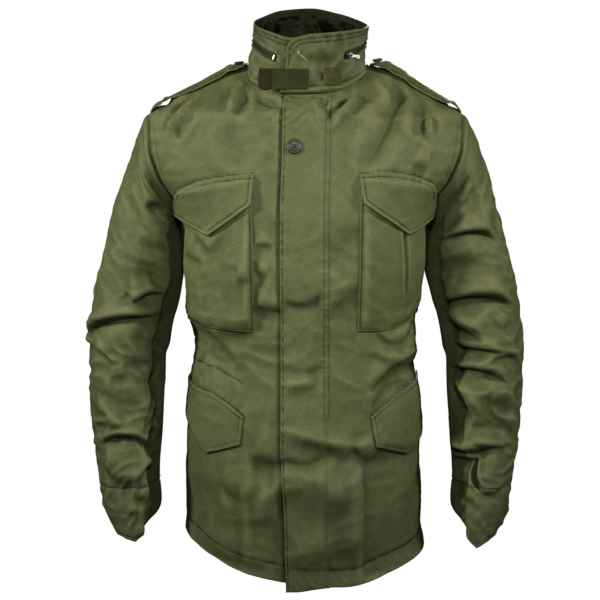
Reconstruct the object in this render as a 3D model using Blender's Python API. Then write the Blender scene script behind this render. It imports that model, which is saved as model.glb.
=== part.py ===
"""Field jacket: a hollow hip-length cotton coat that stands open as if it were filled out.

+Z is up, the front faces -Y and the wearer's left is +X.  Sizes are in millimetres
until a mesh is written; the base of the neck is at height 0.
"""
import math

import bpy
import numpy as np
from mathutils import Matrix

MM = 0.001
GAP = 0.35
LYING_GAP = 0.45
PANEL_WALL = 2.0
COLLAR_WALL = 3.0
ARC_STEP = 2.0
RING_STEP = 2.0

# ---------------------------------------------------------------- body sizes

# height, half width, front depth, back depth, squareness of the ring
BODY_RINGS = (
    (12, 84, 71, 66, 2.0),
    (2, 119, 75, 74, 2.0),
    (-12, 149, 80, 82, 2.0),
    (-30, 180, 87, 92, 2.1),
    (-49, 205, 94, 101, 2.3),
    (-60, 230, 101, 108, 2.5),
    (-106, 243, 118, 124, 2.9),
    (-148, 226, 129, 131, 3.0),
    (-183, 199, 135, 133, 2.8),
    (-208, 188, 138, 132, 2.6),
    (-240, 183, 139, 129, 2.5),
    (-285, 177, 139, 126, 2.5),
    (-312, 171, 137, 122, 2.5),
    (-350, 167, 133, 118, 2.4),
    (-410, 166, 127, 112, 2.4),
    (-460, 170, 130, 117, 2.4),
    (-520, 174, 136, 127, 2.4),
    (-600, 177, 141, 136, 2.4),
    (-670, 178, 143, 139, 2.4),
    (-760, 176, 143, 139, 2.4),
)
NECK_TOP = 12
NECK_FROM = -60
NECK_FRONT_DROP = 41
NECK_FRONT_CURVE = 3.6
NECK_BACK_RISE = 6
# height, how far the ring's middle stands towards the wearer's left
RING_SHIFT = ((12, 6.0), (-30, 3.5), (-60, 2.5), (-120, 2.0), (-200, 0.0), (-760, 0.0))

HEM_FROM = -560
HEM_RING = -760
RING_LEVELS = np.arange(BODY_RINGS[0][0], HEM_RING - 1, -RING_STEP)
# distance round from the centre front (+ is the wearer's left), height of the hem
HEM = (
    (-500, -716), (-380, -706), (-244, -684), (-207, -690), (-165, -702), (-102, -723), (-26, -738),
    (0, -744), (60, -744), (131, -729), (205, -713), (244, -705), (380, -710), (500, -716),
)

ARMHOLE_HEIGHT = -132
ARMHOLE_HALF_HEIGHT = 72
ARMHOLE_HALF_DEPTH = 72

PANEL_ROWS = (12, 2, -12, -30, -46, -60, -66, -80, -100, -124, -148, -172, -189, -200, -204,
              -228, -256, -286, -316, -346, -374, -398, -422, -450, -484, -522, -562, -606,
              -652, -700, -734, -760)

# ---------------------------------------------------------------- sleeve sizes

# down, outer x, inner x, inner height, centre y, half depth
SLEEVE_RINGS = (
    (60, 230, 189, -204, 0, 72),
    (90, 247, 189.5, -212, 0, 74),
    (130, 262, 187.5, -224, 0, 77),
    (180, 279, 184, -248, 1, 78),
    (240, 296, 180, -282, 3, 77),
    (300, 311, 187, -328, 5, 74),
    (360, 321, 200, -380, 6, 71),
    (420, 326, 209, -428, 4, 69),
    (480, 324, 212, -478, -3, 66),
    (540, 319, 215, -535, -14, 62),
    (600, 309, 219, -594, -27, 57),
    (640, 304, 216, -634, -36, 54),
    (710, 281, 236, -700, -48, 49),
)
SLEEVE_ROWS = (60, 70, 84, 102, 124, 148, 172, 196, 220, 244, 268, 292, 314, 334, 352, 370, 388,
               408, 430, 452, 474, 498, 524, 550, 578, 604)
SLEEVE_AROUND = 18
SLEEVE_OUT = {"right": -2.5, "left": 3.5}
CAP_FADE = 110
CUFF = 612

# turn from the outer seam towards the front, how far down the guard reaches
GUARD_EDGE = ((-24, 636), (0, 656), (50, 680), (108, 695), (150, 678), (180, 650), (202, 632))
GUARD_TIP_EXTRA = {"right": 0, "left": 9}

# ---------------------------------------------------------------- folds

# across, height at one end; across, height at the other; reach, depth (+ stands out)
BODY_FOLDS = (
    (-236, -388, -120, -425, 15, -5.0),
    (-232, -408, -96, -398, 14, 4.0),
    (-200, -436, -70, -470, 14, -3.0),
    (228, -386, 118, -440, 15, -5.0),
    (222, -402, 98, -448, 14, 4.0),
    (92, -560, 90, -716, 13, -5.0),
    (118, -580, 116, -722, 16, 4.0),
    (-104, -610, -80, -640, 20, 5.0),
    (-150, -590, -160, -700, 18, -4.0),
    (175, -70, 150, -120, 15, -4.5),
    (-150, -60, -170, -112, 15, 4.0),
    (-58, -60, -70, -125, 15, -3.5),
    (62, -70, 76, -128, 15, 3.5),
    (300, -330, 420, -420, 22, -6.0),
    (-300, -350, -430, -440, 22, -6.0),
    (330, -420, 470, -470, 22, 5.0),
    (-330, -300, -480, -340, 24, -5.0),
    (430, -560, 440, -700, 20, 5.0),
    (-420, -540, -410, -700, 20, -5.0),
    (470, -70, 400, -180, 20, -4.0),
    (-470, -70, -410, -190, 20, -4.0),
)

# turn, down at one end; turn, down at the other; reach, depth (+ stands out)
SLEEVE_FOLDS = {
    "right": (
        (40, 150, 130, 175, 13, -4.0),
        (30, 205, 150, 222, 14, -4.5),
        (20, 250, 150, 262, 13, -4.5),
        (-10, 300, 120, 318, 13, -6.0),
        (0, 330, 150, 348, 11, 5.0),
        (-30, 352, 150, 372, 13, -6.0),
        (-10, 402, 130, 392, 13, -5.5),
        (-20, 424, 150, 428, 12, 5.0),
        (20, 452, 160, 446, 14, -5.5),
        (0, 478, 140, 476, 12, 4.0),
        (10, 498, 160, 504, 14, -6.0),
        (30, 552, 130, 546, 15, -5.0),
        (40, 520, 140, 528, 12, 3.5),
        (200, 340, 330, 372, 16, -5.5),
        (190, 405, 340, 420, 16, -5.5),
        (200, 470, 330, 500, 17, -5.0),
        (210, 250, 320, 230, 18, -4.0),
    ),
    "left": (
        (30, 160, 110, 180, 13, -4.0),
        (20, 205, 150, 214, 14, -5.0),
        (30, 246, 150, 240, 13, -4.0),
        (0, 305, 150, 306, 12, -5.5),
        (10, 330, 150, 322, 12, 5.0),
        (0, 352, 110, 348, 12, -6.0),
        (10, 388, 160, 400, 13, -6.0),
        (20, 410, 120, 430, 12, 4.5),
        (10, 448, 150, 440, 14, -5.0),
        (-10, 486, 140, 470, 14, -5.5),
        (20, 512, 160, 508, 13, -5.5),
        (10, 536, 150, 530, 12, 4.0),
        (20, 560, 130, 556, 14, -4.5),
        (200, 330, 340, 366, 16, -5.5),
        (190, 410, 330, 426, 16, -5.5),
        (210, 486, 340, 470, 17, -5.0),
        (200, 240, 320, 254, 18, -4.0),
    ),
}

# ---------------------------------------------------------------- collar sizes

COLLAR_HALF_WIDTH = 85
COLLAR_HALF_FRONT = 68
COLLAR_HALF_BACK = 66
COLLAR_SHIFT = 10
# turn from the centre front round by the wearer's right, height of the rim
COLLAR_RIM = (
    (0, 56.5), (20, 51), (45, 59.5), (70, 67), (90, 73), (120, 80.5), (150, 91), (180, 94),
    (210, 86), (240, 75.5), (270, 67.5), (290, 65), (315, 61.5), (340, 58.5), (360, 56.5),
)
COLLAR_WAIST = 1.5
COLLAR_ROWS = (0.0, 0.22, 0.44, 0.56, 0.70, 0.86, 0.95, 1.0)
COLLAR_COLUMNS = 40
COLLAR_CORNER = 0.26
COLLAR_START = -5.0
COLLAR_END_LOW = 384.0
COLLAR_END_TOP = 372.0
COLLAR_LAP = 3.9
LAP_FROM = 326.0
LAP_OVER = 30.0
ZIP_FROM = 36.0
ZIP_TO = 322.0
ZIP_LOW = 0.49
ZIP_HIGH = 0.63
ZIP_THICK = 1.2
# cuts of the slider: along the zip, across it, out from the tape
SLIDER_CUTS = ((-5.0, -3.6, -2.6, 2.6, 3.6, 5.0), (-4.0, -0.8, 0.8, 4.0), (0.0, 2.2, 4.8, 5.8))
SLIDER_PIN = 3.5
# cuts of the pull: back from its pin, across, through
PULL_CUTS = ((-0.5, 0.5, 5.0, 20.0), (-3.7, -2.7, 2.7, 3.7), (-0.5, 0.5))
PULL_TILT = 5.0
PULL_DROOP = 25.0
STOP_CUTS = ((-1.2, 1.2), (-3.6, 3.6), (0.0, 1.4))
# turns at both ends, share of the collar's height at the foot and the top, columns, thickness
TAB = ((358.0, 399.0), (0.06, 0.42), 8, 1.8)
LOOP_RIGHT = ((36.0, 56.0), (0.06, 0.42), 4, 1.2)
LOOP_LEFT = ((324.0, 341.0), (0.12, 0.44), 4, 1.2)

# ---------------------------------------------------------------- sewn-on pieces

PLACKET_THICK = 2.5
PLACKET_LEFT = 36
# height, free edge
PLACKET_EDGE = ((7, -33), (-110, -34), (-250, -35), (-370, -34), (-530, -34), (-650, -29), (-750, -26))
PLACKET_LIFT = 3.5

BAG_THICK = 1.4
BAG_HOLLOW = 3.3
FLAP_THICK = 1.8
BAG_BULGE = 5.4
BAG_TOP_BULGE = 1.6

# flap tops and bottoms: across, height; the side comes from the sign of each pocket
CHEST_FLAPS = {
    "right": (
        ((73, -144), (99, -145), (128, -149), (156, -155), (193, -169)),
        ((75, -187), (105, -209), (136, -231), (178, -216), (222, -203)),
    ),
    "left": (
        ((77, -144), (104, -141), (130, -142), (160, -147), (194, -160)),
        ((83, -184), (118, -208), (153, -231), (190, -218), (228, -205)),
    ),
}
CHEST_BAGS = {
    "right": (
        ((76, -160), (104, -161), (130, -166), (156, -173), (186, -184)),
        ((72, -371), (112, -369), (152, -367), (192, -365), (232, -360)),
    ),
    "left": (
        ((81, -160), (108, -158), (134, -160), (160, -166), (188, -176)),
        ((79, -371), (115, -371), (151, -366), (184, -358), (226, -350)),
    ),
}
PLEAT_DEPTH = {"right": 1.5, "left": 4.5}
LOWER_FLAPS = {
    "right": (
        ((89, -496), (112, -480), (140, -467), (190, -461), (258, -452)),
        ((94, -537), (122, -546), (151, -554), (196, -522), (262, -492)),
    ),
    "left": (
        ((99, -497), (118, -484), (146, -470), (194, -459), (258, -447)),
        ((105, -541), (138, -550), (169, -558), (206, -538), (262, -500)),
    ),
}
LOWER_FLAP_LIFT = 4.0

# |x|, crown height and fall of the section on the wearer's right, then on the left, share of the width
STRAP_LINE = (
    (90, 14.0, 2.0, 12.3, 2.0, 0.16), (93, 13.3, 3.0, 13.3, 3.0, 0.50), (97, 12.6, 4.0, 15.2, 4.5, 0.86),
    (102, 12.0, 5.0, 16.3, 6.0, 0.92), (109, 11.6, 7.0, 17.0, 9.0, 0.95), (115, 10.4, 8.0, 16.0, 11.0, 0.96),
    (124, 6.0, 8.5, 12.0, 12.5, 0.97), (134, 1.0, 8.5, 8.0, 12.5, 0.97), (144, -4.6, 8.0, 3.4, 12.0, 0.98),
    (152, -9.4, 7.5, -4.2, 11.5, 0.98), (158, -13.0, 7.0, -8.8, 11.0, 0.98),
    (172, -20.6, 5.5, -17.8, 10.0, 1.0), (187, -28.0, 4.0, -26.6, 8.5, 1.0),
    (208, -38.6, 3.0, -38.8, 5.5, 1.0), (219, -44.4, 2.6, -44.4, 4.0, 1.0),
    (225, -48.7, 2.0, -48.7, 3.0, 1.0), (229.5, -56.4, 1.2, -56.4, 1.5, 1.0),
)
STRAP_THICK = 2.4
STRAP_HALF_WIDTH = 22.5
STRAP_MIDDLE = -7
STRAP_ARCH = 28.0
# how far both straps stand towards the wearer's left, at the collar and at the armhole
STRAP_SHIFT = (7, 2.5)
STRAP_BUTTON_ROW = 3

BUTTON_RADIUS = 11
STRAP_BUTTON_RADIUS = 7.5
# share of the radius, underside, top
BUTTON_PROFILE = ((0.16, 0.0, 1.9), (0.40, 0.0, 1.9), (0.72, 0.0, 2.0), (0.86, 0.2, 3.0), (1.0, 1.0, 2.2))
FRONT_BUTTON = (-16, -105)

# name, colour, roughness, metallic
FINISHES = {
    "cloth": ((0.105, 0.112, 0.052), 0.88, 0.0),
    "cloth_inner": ((0.080, 0.086, 0.042), 0.90, 0.0),
    "tab": ((0.050, 0.068, 0.036), 0.92, 0.0),
    "loop": ((0.070, 0.060, 0.034), 0.95, 0.0),
    "tape": ((0.040, 0.044, 0.026), 0.85, 0.0),
    "button": ((0.034, 0.046, 0.026), 0.45, 0.0),
    "bright_metal": ((0.55, 0.55, 0.53), 0.35, 0.9),
    "dark_metal": ((0.06, 0.06, 0.055), 0.40, 0.8),
}


# ---------------------------------------------------------------- curves

def smooth(stations, values, at):
    """Values at `at`, through the stations without overshoot."""
    x = np.asarray(stations, float)
    y = np.asarray(values, float)
    if x[0] > x[-1]:
        x = x[::-1]
        y = y[::-1]
    step = np.diff(x)
    slope = np.diff(y) / step
    tangent = np.empty_like(y)
    tangent[0] = slope[0]
    tangent[-1] = slope[-1]
    product = slope[:-1] * slope[1:]
    total = np.where(product > 0, slope[:-1] + slope[1:], 1.0)
    tangent[1:-1] = np.where(product > 0, 2.0 * product / total, 0.0)
    at = np.clip(np.asarray(at, float), x[0], x[-1])
    i = np.clip(np.searchsorted(x, at) - 1, 0, len(x) - 2)
    t = (at - x[i]) / step[i]
    return ((1 + 2 * t) * (1 - t) ** 2 * y[i] + t * (1 - t) ** 2 * step[i] * tangent[i]
            + t * t * (3 - 2 * t) * y[i + 1] + t * t * (t - 1) * step[i] * tangent[i + 1])


def ease(t):
    """0 to 1 with level ends."""
    t = np.clip(t, 0.0, 1.0)
    return t * t * (3.0 - 2.0 * t)


def column(table, number):
    return [row[number] for row in table]


def unit(vectors):
    return vectors / np.maximum(np.linalg.norm(vectors, axis=-1, keepdims=True), 1e-9)


def normals_of(surface, u, v, du, dv):
    """Unit normals of surface(u, v), from its two slopes."""
    along_u = surface(u + du, v) - surface(u - du, v)
    along_v = surface(u, v + dv) - surface(u, v - dv)
    return unit(np.cross(along_u, along_v))


def fold_relief(folds, across, along, scale=1.0):
    """Height of the folds at a point; each is a soft ridge or trough on a line."""
    relief = np.zeros(np.broadcast(across, along).shape)
    for a0, b0, a1, b1, reach, depth in folds:
        run_a = (a1 - a0) * scale
        run_b = b1 - b0
        length = math.hypot(run_a, run_b)
        off_a = (across - a0) * scale
        off_b = along - b0
        where = (off_a * run_a + off_b * run_b) / length ** 2
        aside = (off_a * run_b - off_b * run_a) / length
        body = ease((where + 0.15) / 0.35) * ease((1.15 - where) / 0.35)
        relief = relief + depth * body * np.exp(-(aside / reach) ** 2)
    return relief


# ---------------------------------------------------------------- body surface

def ring_sizes(height):
    """Half width, front depth, back depth and squareness of the ring at a height."""
    heights = column(BODY_RINGS, 0)
    return [smooth(heights, column(BODY_RINGS, k), height) for k in (1, 2, 3, 4)]


def neck_lift(cosine):
    """How far the neckline stands off level: scooped at the front, raised at the back."""
    sine = np.sqrt(np.clip(1.0 - cosine * cosine, 0.0, 1.0))
    scoop = -NECK_FRONT_DROP * (1.0 - sine ** NECK_FRONT_CURVE)
    return np.where(cosine > 0, scoop, NECK_BACK_RISE * cosine * cosine)


def half_ring(height):
    """One side of a ring, from the centre front round to the centre back, and its running length."""
    width, front, back, power = ring_sizes(height)
    turn = np.linspace(0.0, math.pi, 361)
    cosine = np.cos(turn)
    depth = np.where(cosine > 0, front, back)
    x = width * np.abs(np.sin(turn)) ** (2.0 / power)
    y = -np.sign(cosine) * depth * np.abs(cosine) ** (2.0 / power)
    z = height + neck_lift(cosine) * ease((height - NECK_FROM) / (NECK_TOP - NECK_FROM))
    arc = np.concatenate([[0.0], np.cumsum(np.hypot(np.diff(x), np.diff(y)))])
    return x, y, z, arc


def body_chart():
    """Points of every ring at equal steps round, with the lengths to the side and to the back."""
    arcs = np.arange(0.0, 700.0, ARC_STEP)
    chart = []
    side = []
    whole = []
    for height in RING_LEVELS:
        x, y, z, arc = half_ring(height)
        chart.append(np.stack([np.interp(arcs, arc, values) for values in (x, y, z)], -1))
        side.append(arc[180])
        whole.append(arc[-1])
    return np.array(chart), np.array(side), np.array(whole)


CHART, SIDE_ARC, WHOLE_ARC = body_chart()


def ring_shift(height):
    return smooth(column(RING_SHIFT, 0), column(RING_SHIFT, 1), height)


def side_arc(height):
    return np.interp(-np.asarray(height, float), -RING_LEVELS, SIDE_ARC)


def back_arc(height):
    return np.interp(-np.asarray(height, float), -RING_LEVELS, WHOLE_ARC)


def bare_body(across, height):
    """Outer surface of the body before its folds: `across` mm round from the centre front."""
    across, height = np.broadcast_arrays(np.asarray(across, float), np.asarray(height, float))
    row = np.clip((RING_LEVELS[0] - height) / RING_STEP, 0, len(RING_LEVELS) - 1.001)
    col = np.clip(np.abs(across) / ARC_STEP, 0, CHART.shape[1] - 1.001)
    i = row.astype(int)
    j = col.astype(int)
    f = (row - i)[..., None]
    g = (col - j)[..., None]
    points = ((CHART[i, j] * (1 - g) + CHART[i, j + 1] * g) * (1 - f)
              + (CHART[i + 1, j] * (1 - g) + CHART[i + 1, j + 1] * g) * f)
    sign = np.where(across < 0, -1.0, 1.0)
    points[..., 0] = points[..., 0] * sign + ring_shift(height)
    return points


def body(across, height):
    """Outer surface of the body with its folds."""
    points = bare_body(across, height)
    relief = fold_relief(BODY_FOLDS, np.asarray(across, float), np.asarray(height, float))
    return points + normals_of(bare_body, across, height, 2.0, 2.0) * relief[..., None]


def body_normals(across, height):
    return normals_of(body, across, height, 3.0, 3.0)


def hem_height(across):
    return smooth(column(HEM, 0), column(HEM, 1), across)


def dropped(height, across):
    """Height of a row once the hem curve has stretched the rows near it."""
    share = np.clip((HEM_FROM - height) / (HEM_FROM - HEM_RING), 0.0, None)
    return np.where(height < HEM_FROM, HEM_FROM + share * (hem_height(across) - HEM_FROM), height)


def armhole_arc(height, at_back):
    """Distance round to the armhole edge, or to the side seam where there is no armhole."""
    rise = (height - ARMHOLE_HEIGHT) / ARMHOLE_HALF_HEIGHT
    if abs(rise) >= 1.0:
        return float(side_arc(height))
    reach = ARMHOLE_HALF_DEPTH * math.sqrt(1.0 - rise * rise)
    y = half_ring(height)[1]
    arc = half_ring(height)[3]
    return float(np.interp(reach if at_back else -reach, y, arc))


# ---------------------------------------------------------------- sleeve surface

def sleeve_sizes(down):
    downs = column(SLEEVE_RINGS, 0)
    return [smooth(downs, column(SLEEVE_RINGS, k), down)[..., None] for k in (1, 2, 3, 4, 5)]


def armhole(turn, sign):
    """Where the sleeve starts beside the armhole: turn 0 is the shoulder point, 90 the front."""
    angle = np.radians(turn)
    y = -ARMHOLE_HALF_DEPTH * np.sin(angle)
    z = ARMHOLE_HEIGHT + ARMHOLE_HALF_HEIGHT * np.cos(angle)
    width, front, back, power = ring_sizes(z)
    depth = np.where(y < 0, front, back)
    x = width * (1.0 - (np.abs(y) / depth) ** power) ** (1.0 / power)
    x = x + GAP + PANEL_WALL * np.cos(angle / 2.0) ** 2
    return np.stack([sign * x + ring_shift(z), y, z], -1)


def sleeve_ellipse(turn, down, side):
    outer_x, inner_x, inner_z, centre_y, depth = sleeve_sizes(down)
    outer_x = outer_x + SLEEVE_OUT[side] * ease((down[..., None] - 60) / 60)
    inner_x = inner_x + SLEEVE_OUT[side] * ease((down[..., None] - 240) / 80)
    outer_z = -down[..., None]
    cosine = np.cos(np.radians(turn))[..., None]
    sine = np.sin(np.radians(turn))[..., None]
    x = (outer_x + inner_x) / 2 + (outer_x - inner_x) / 2 * cosine
    z = (outer_z + inner_z) / 2 + (outer_z - inner_z) / 2 * cosine
    y = centre_y - depth * sine
    return np.concatenate([x if side == "left" else -x, y, z], -1)


def sleeve_surface(side):
    """Outer surface of one sleeve: turn 0 at its outer seam, 90 at its front, `down` from the shoulder."""
    sign = 1.0 if side == "left" else -1.0

    def bare(turn, down):
        turn, down = np.broadcast_arrays(np.asarray(turn, float), np.asarray(down, float))
        start = np.full(down.shape, float(SLEEVE_RINGS[0][0]))
        hold = (1.0 - ease((down - start) / CAP_FADE))[..., None]
        first = armhole(turn, sign) - sleeve_ellipse(turn, start, side)
        return sleeve_ellipse(turn, down, side) + first * hold

    def surface(turn, down):
        normals = sign * normals_of(bare, turn, down, 1.0, 1.0)
        fade = ease((np.asarray(down, float) - SLEEVE_RINGS[0][0]) / 60.0)
        relief = fade * fold_relief(SLEEVE_FOLDS[side], np.asarray(turn, float), down, 1.1)
        return bare(turn, down) + normals * relief[..., None]

    return surface


# ---------------------------------------------------------------- collar surface

def neck_seam(turn):
    """Top edge of the body where the collar is sewn: turn 0 is the front, 90 the wearer's right."""
    angle = np.radians(turn)
    cosine = np.cos(angle)
    front = ring_sizes(NECK_TOP)
    depth = np.where(cosine > 0, front[1], front[2])
    x = ring_shift(NECK_TOP) - front[0] * np.sin(angle)
    y = -depth * cosine
    return np.stack([x, y, NECK_TOP + neck_lift(cosine) + GAP], -1)


def collar(turn, up):
    """Outer surface of the collar without its lap; `up` runs 0 at the seam to 1 at the rim."""
    turn, up = np.broadcast_arrays(np.asarray(turn, float), np.asarray(up, float))
    angle = np.radians(turn)
    cosine = np.cos(angle)
    depth = np.where(cosine > 0, COLLAR_HALF_FRONT, COLLAR_HALF_BACK)
    x = COLLAR_SHIFT - COLLAR_HALF_WIDTH * np.sin(angle)
    y = -depth * cosine
    z = smooth(column(COLLAR_RIM, 0), column(COLLAR_RIM, 1), turn % 360.0)
    rim = np.stack([x, y, z], -1)
    share = up[..., None]
    middle = 4.0 * share * (1.0 - share)
    inward = np.stack([np.sin(angle), cosine, 0.0 * angle], -1)
    return neck_seam(turn) * (1 - share) + rim * share + inward * middle * COLLAR_WAIST


def collar_normals(turn, up):
    return -normals_of(collar, turn, up, 0.5, 0.01)


def collar_lap(turn):
    """How far the collar stands out so that its left end passes over its right end."""
    return COLLAR_LAP * ease((turn - LAP_FROM) / LAP_OVER)


def on_collar(turn, up, out):
    """Points `out` mm off the collar, lap included, for turns of -180 to 540 degrees."""
    return collar(turn, up) + collar_normals(turn, up) * np.asarray(out)[..., None]


# ---------------------------------------------------------------- meshes

def add_mesh(name, verts, faces, finish):
    """One closed solid with its own material."""
    mesh = bpy.data.meshes.new(name)
    mesh.from_pydata((np.asarray(verts, float) * MM).tolist(), [], faces)
    colour, roughness, metallic = FINISHES[finish]
    material = bpy.data.materials.new(name + "_" + finish)
    material.use_nodes = True
    shader = material.node_tree.nodes["Principled BSDF"]
    shader.inputs["Base Color"].default_value = (*colour, 1.0)
    shader.inputs["Roughness"].default_value = roughness
    shader.inputs["Metallic"].default_value = metallic
    mesh.materials.append(material)
    solid = bpy.data.objects.new(name, mesh)
    bpy.context.scene.collection.objects.link(solid)
    return solid


def plate(name, finish, points, normals, low, high, around=False):
    """A wall between two offsets of a grid of points, closed at its edges."""
    rows, cols = points.shape[:2]
    inner = (points + normals * np.broadcast_to(low, (rows, cols))[..., None]).reshape(-1, 3)
    outer = (points + normals * np.broadcast_to(high, (rows, cols))[..., None]).reshape(-1, 3)
    back = rows * cols
    faces = []
    for r in range(rows - 1):
        for c in range(cols if around else cols - 1):
            d = (c + 1) % cols
            quad = (r * cols + c, (r + 1) * cols + c, (r + 1) * cols + d, r * cols + d)
            faces.append(quad)
            faces.append(tuple(back + i for i in reversed(quad)))
    for r in (0, rows - 1):
        for c in range(cols if around else cols - 1):
            d = (c + 1) % cols
            rim = (r * cols + c, r * cols + d, back + r * cols + d, back + r * cols + c)
            faces.append(rim if r == 0 else rim[::-1])
    if not around:
        for c in (0, cols - 1):
            for r in range(rows - 1):
                rim = (r * cols + c, back + r * cols + c, back + (r + 1) * cols + c, (r + 1) * cols + c)
                faces.append(rim if c == 0 else rim[::-1])
    verts = np.concatenate([outer, inner])
    if signed_volume(verts, faces) < 0:
        faces = [face[::-1] for face in faces]
    return add_mesh(name, verts, faces, finish)


def signed_volume(verts, faces):
    total = 0.0
    for face in faces:
        corner = verts[face[0]]
        for k in range(1, len(face) - 1):
            total += np.dot(corner, np.cross(verts[face[k]], verts[face[k + 1]]))
    return total / 6.0


def blocks(name, finish, cuts, filled, frame):
    """A solid made of the filled cells between three lists of cuts, in its own frame."""
    solid = {cell for box in filled for cell in cells_in(box)}
    index = {}
    verts = []
    faces = []
    for cell in sorted(solid):
        for axis in range(3):
            for direction in (0, 1):
                beside = list(cell)
                beside[axis] += 1 if direction else -1
                if tuple(beside) in solid:
                    continue
                corners = []
                for p, q in ((0, 0), (1, 0), (1, 1), (0, 1)):
                    corner = list(cell)
                    corner[axis] += direction
                    corner[(axis + 1) % 3] += p
                    corner[(axis + 2) % 3] += q
                    key = tuple(corner)
                    if key not in index:
                        index[key] = len(verts)
                        verts.append([cuts[k][key[k]] for k in range(3)])
                    corners.append(index[key])
                faces.append(tuple(corners) if direction else tuple(reversed(corners)))
    place(add_mesh(name, verts, faces, finish), frame)


def cells_in(box):
    """All cells of a box given as three (first, after last) pairs."""
    (a0, a1), (b0, b1), (c0, c1) = box
    return [(a, b, c) for a in range(a0, a1) for b in range(b0, b1) for c in range(c0, c1)]


def place(solid, frame):
    """Set a solid built about its own origin into a frame (origin in mm, three axes)."""
    origin, axes = frame
    matrix = Matrix(np.array(axes).T.tolist()).to_4x4()
    matrix.translation = (origin * MM).tolist()
    solid.matrix_world = matrix


def button(name, radius, frame, holes):
    """A dished button with a raised rim; the frame's origin is the centre of its underside."""
    segments = 16 if holes else 12
    hole_at = {(0, 1 + 4 * k) for k in range(4)} if holes else set()
    verts = []
    for side in (1, 2):
        verts.append((0.0, 0.0, BUTTON_PROFILE[0][side]))
        for row in BUTTON_PROFILE:
            for s in range(segments):
                angle = 2 * math.pi * s / segments
                reach = radius * row[0]
                verts.append((reach * math.cos(angle), reach * math.sin(angle), row[side]))
    half = 1 + len(BUTTON_PROFILE) * segments
    faces = []
    for s in range(segments):
        t = (s + 1) % segments
        faces.append((0, 1 + t, 1 + s))
        faces.append((half, half + 1 + s, half + 1 + t))
        for ring in range(len(BUTTON_PROFILE) - 1):
            a = 1 + ring * segments + s
            b = 1 + ring * segments + t
            quad = (a, b, b + segments, a + segments)
            if (ring, s) in hole_at:
                for p, q in zip(quad, quad[1:] + quad[:1]):
                    faces.append((p, q, half + q, half + p))
                continue
            faces.append(quad)
            faces.append(tuple(half + i for i in reversed(quad)))
        a = 1 + (len(BUTTON_PROFILE) - 1) * segments + s
        b = 1 + (len(BUTTON_PROFILE) - 1) * segments + t
        faces.append((a, b, half + b, half + a))
    if signed_volume(np.array(verts), faces) < 0:
        faces = [face[::-1] for face in faces]
    place(add_mesh(name, verts, faces, "button"), frame)


# ---------------------------------------------------------------- pieces

def panel(name, side, at_back, columns, finish="cloth"):
    """A body panel from its centre line or centre seam to the armhole and side seam."""
    sign = 1.0 if side == "left" else -1.0
    across = []
    heights = []
    for height in PANEL_ROWS:
        edge = armhole_arc(height, at_back)
        if at_back:
            half = np.linspace(edge + GAP / 2, float(back_arc(height)), columns // 2 + 1)
            row = np.concatenate([-half, half[-2::-1]])
        else:
            row = sign * np.linspace(GAP / 2, edge - GAP / 2, columns + 1)
        across.append(row)
        heights.append(np.full(len(row), float(height)))
    across = np.array(across)
    heights = dropped(np.array(heights), across)
    points = body(across, heights)
    normals = body_normals(across, heights)
    plate(name, finish, points, outward(points, normals), -PANEL_WALL, 0.0)


def outward(points, normals):
    """Normals turned to face away from the body's upright axis."""
    away = points * np.array([1.0, 1.0, 0.0])
    facing = np.sum(away * normals, -1, keepdims=True)
    return np.where(facing < 0, -normals, normals)


def patch(top, bottom, columns, rows, sign):
    """Grid of (across, height) between a top line and a bottom line given at the same stations."""
    stations = np.linspace(0.0, 1.0, len(top))
    u = np.linspace(0.0, 1.0, columns + 1)
    upper = np.stack([np.interp(u, stations, column(top, k)) for k in (0, 1)], -1)
    lower = np.stack([np.interp(u, stations, column(bottom, k)) for k in (0, 1)], -1)
    v = np.linspace(0.0, 1.0, rows + 1)[:, None, None]
    grid = upper * (1 - v) + lower * v
    return sign * grid[..., 0], grid[..., 1], u[None, :], v[..., 0]


def lie_on_body(name, finish, across, height, low, thick):
    """A sewn-on piece made from the panel's own surface, moved out."""
    points = body(across, height)
    normals = outward(points, body_normals(across, height))
    plate(name, finish, points, normals, low, low + thick)


def bag_rise(side, u, v):
    """How far a chest bag's cloth stands out: flat at its sewn edges, with a bellows pleat down it."""
    edge = ease(u / 0.14) * ease((1 - u) / 0.10)
    down = BAG_TOP_BULGE + (BAG_BULGE - BAG_TOP_BULGE) * ease(v / 0.45)
    closed = ease((1 - v) / 0.14)
    pleat = PLEAT_DEPTH[side] * np.exp(-((u - 0.52) / 0.045) ** 2) * ease((v - 0.1) / 0.2)
    return np.maximum(edge * down * closed - pleat * edge * closed, 0.0)


def chest_pocket(side):
    sign = 1.0 if side == "left" else -1.0
    across, height, u, v = patch(*CHEST_BAGS[side], 16, 9, sign)
    rise = bag_rise(side, u, v)
    low = LYING_GAP + np.minimum(rise, BAG_HOLLOW)
    thick = BAG_THICK + rise - np.minimum(rise, BAG_HOLLOW)
    lie_on_body("chest_pocket_" + side, "cloth", across, height, low, thick)
    across, height, u, v = patch(*CHEST_FLAPS[side], 16, 5, sign)
    clear = BAG_TOP_BULGE + BAG_THICK + 1.2 + (BAG_BULGE - BAG_TOP_BULGE) * ease((v - 0.3) / 0.9) * 0.8
    low = LYING_GAP + clear * ease(v / 0.22)
    lie_on_body("chest_flap_" + side, "cloth", across, height, low + 0 * u, FLAP_THICK)


def lower_flap(side):
    sign = 1.0 if side == "left" else -1.0
    across, height, u, v = patch(*LOWER_FLAPS[side], 16, 4, sign)
    low = LYING_GAP + 0.2 + LOWER_FLAP_LIFT * v * v * (0.4 + 0.6 * np.sin(math.pi * u))
    lie_on_body("lower_flap_" + side, "cloth", across, height, low, FLAP_THICK)


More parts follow.
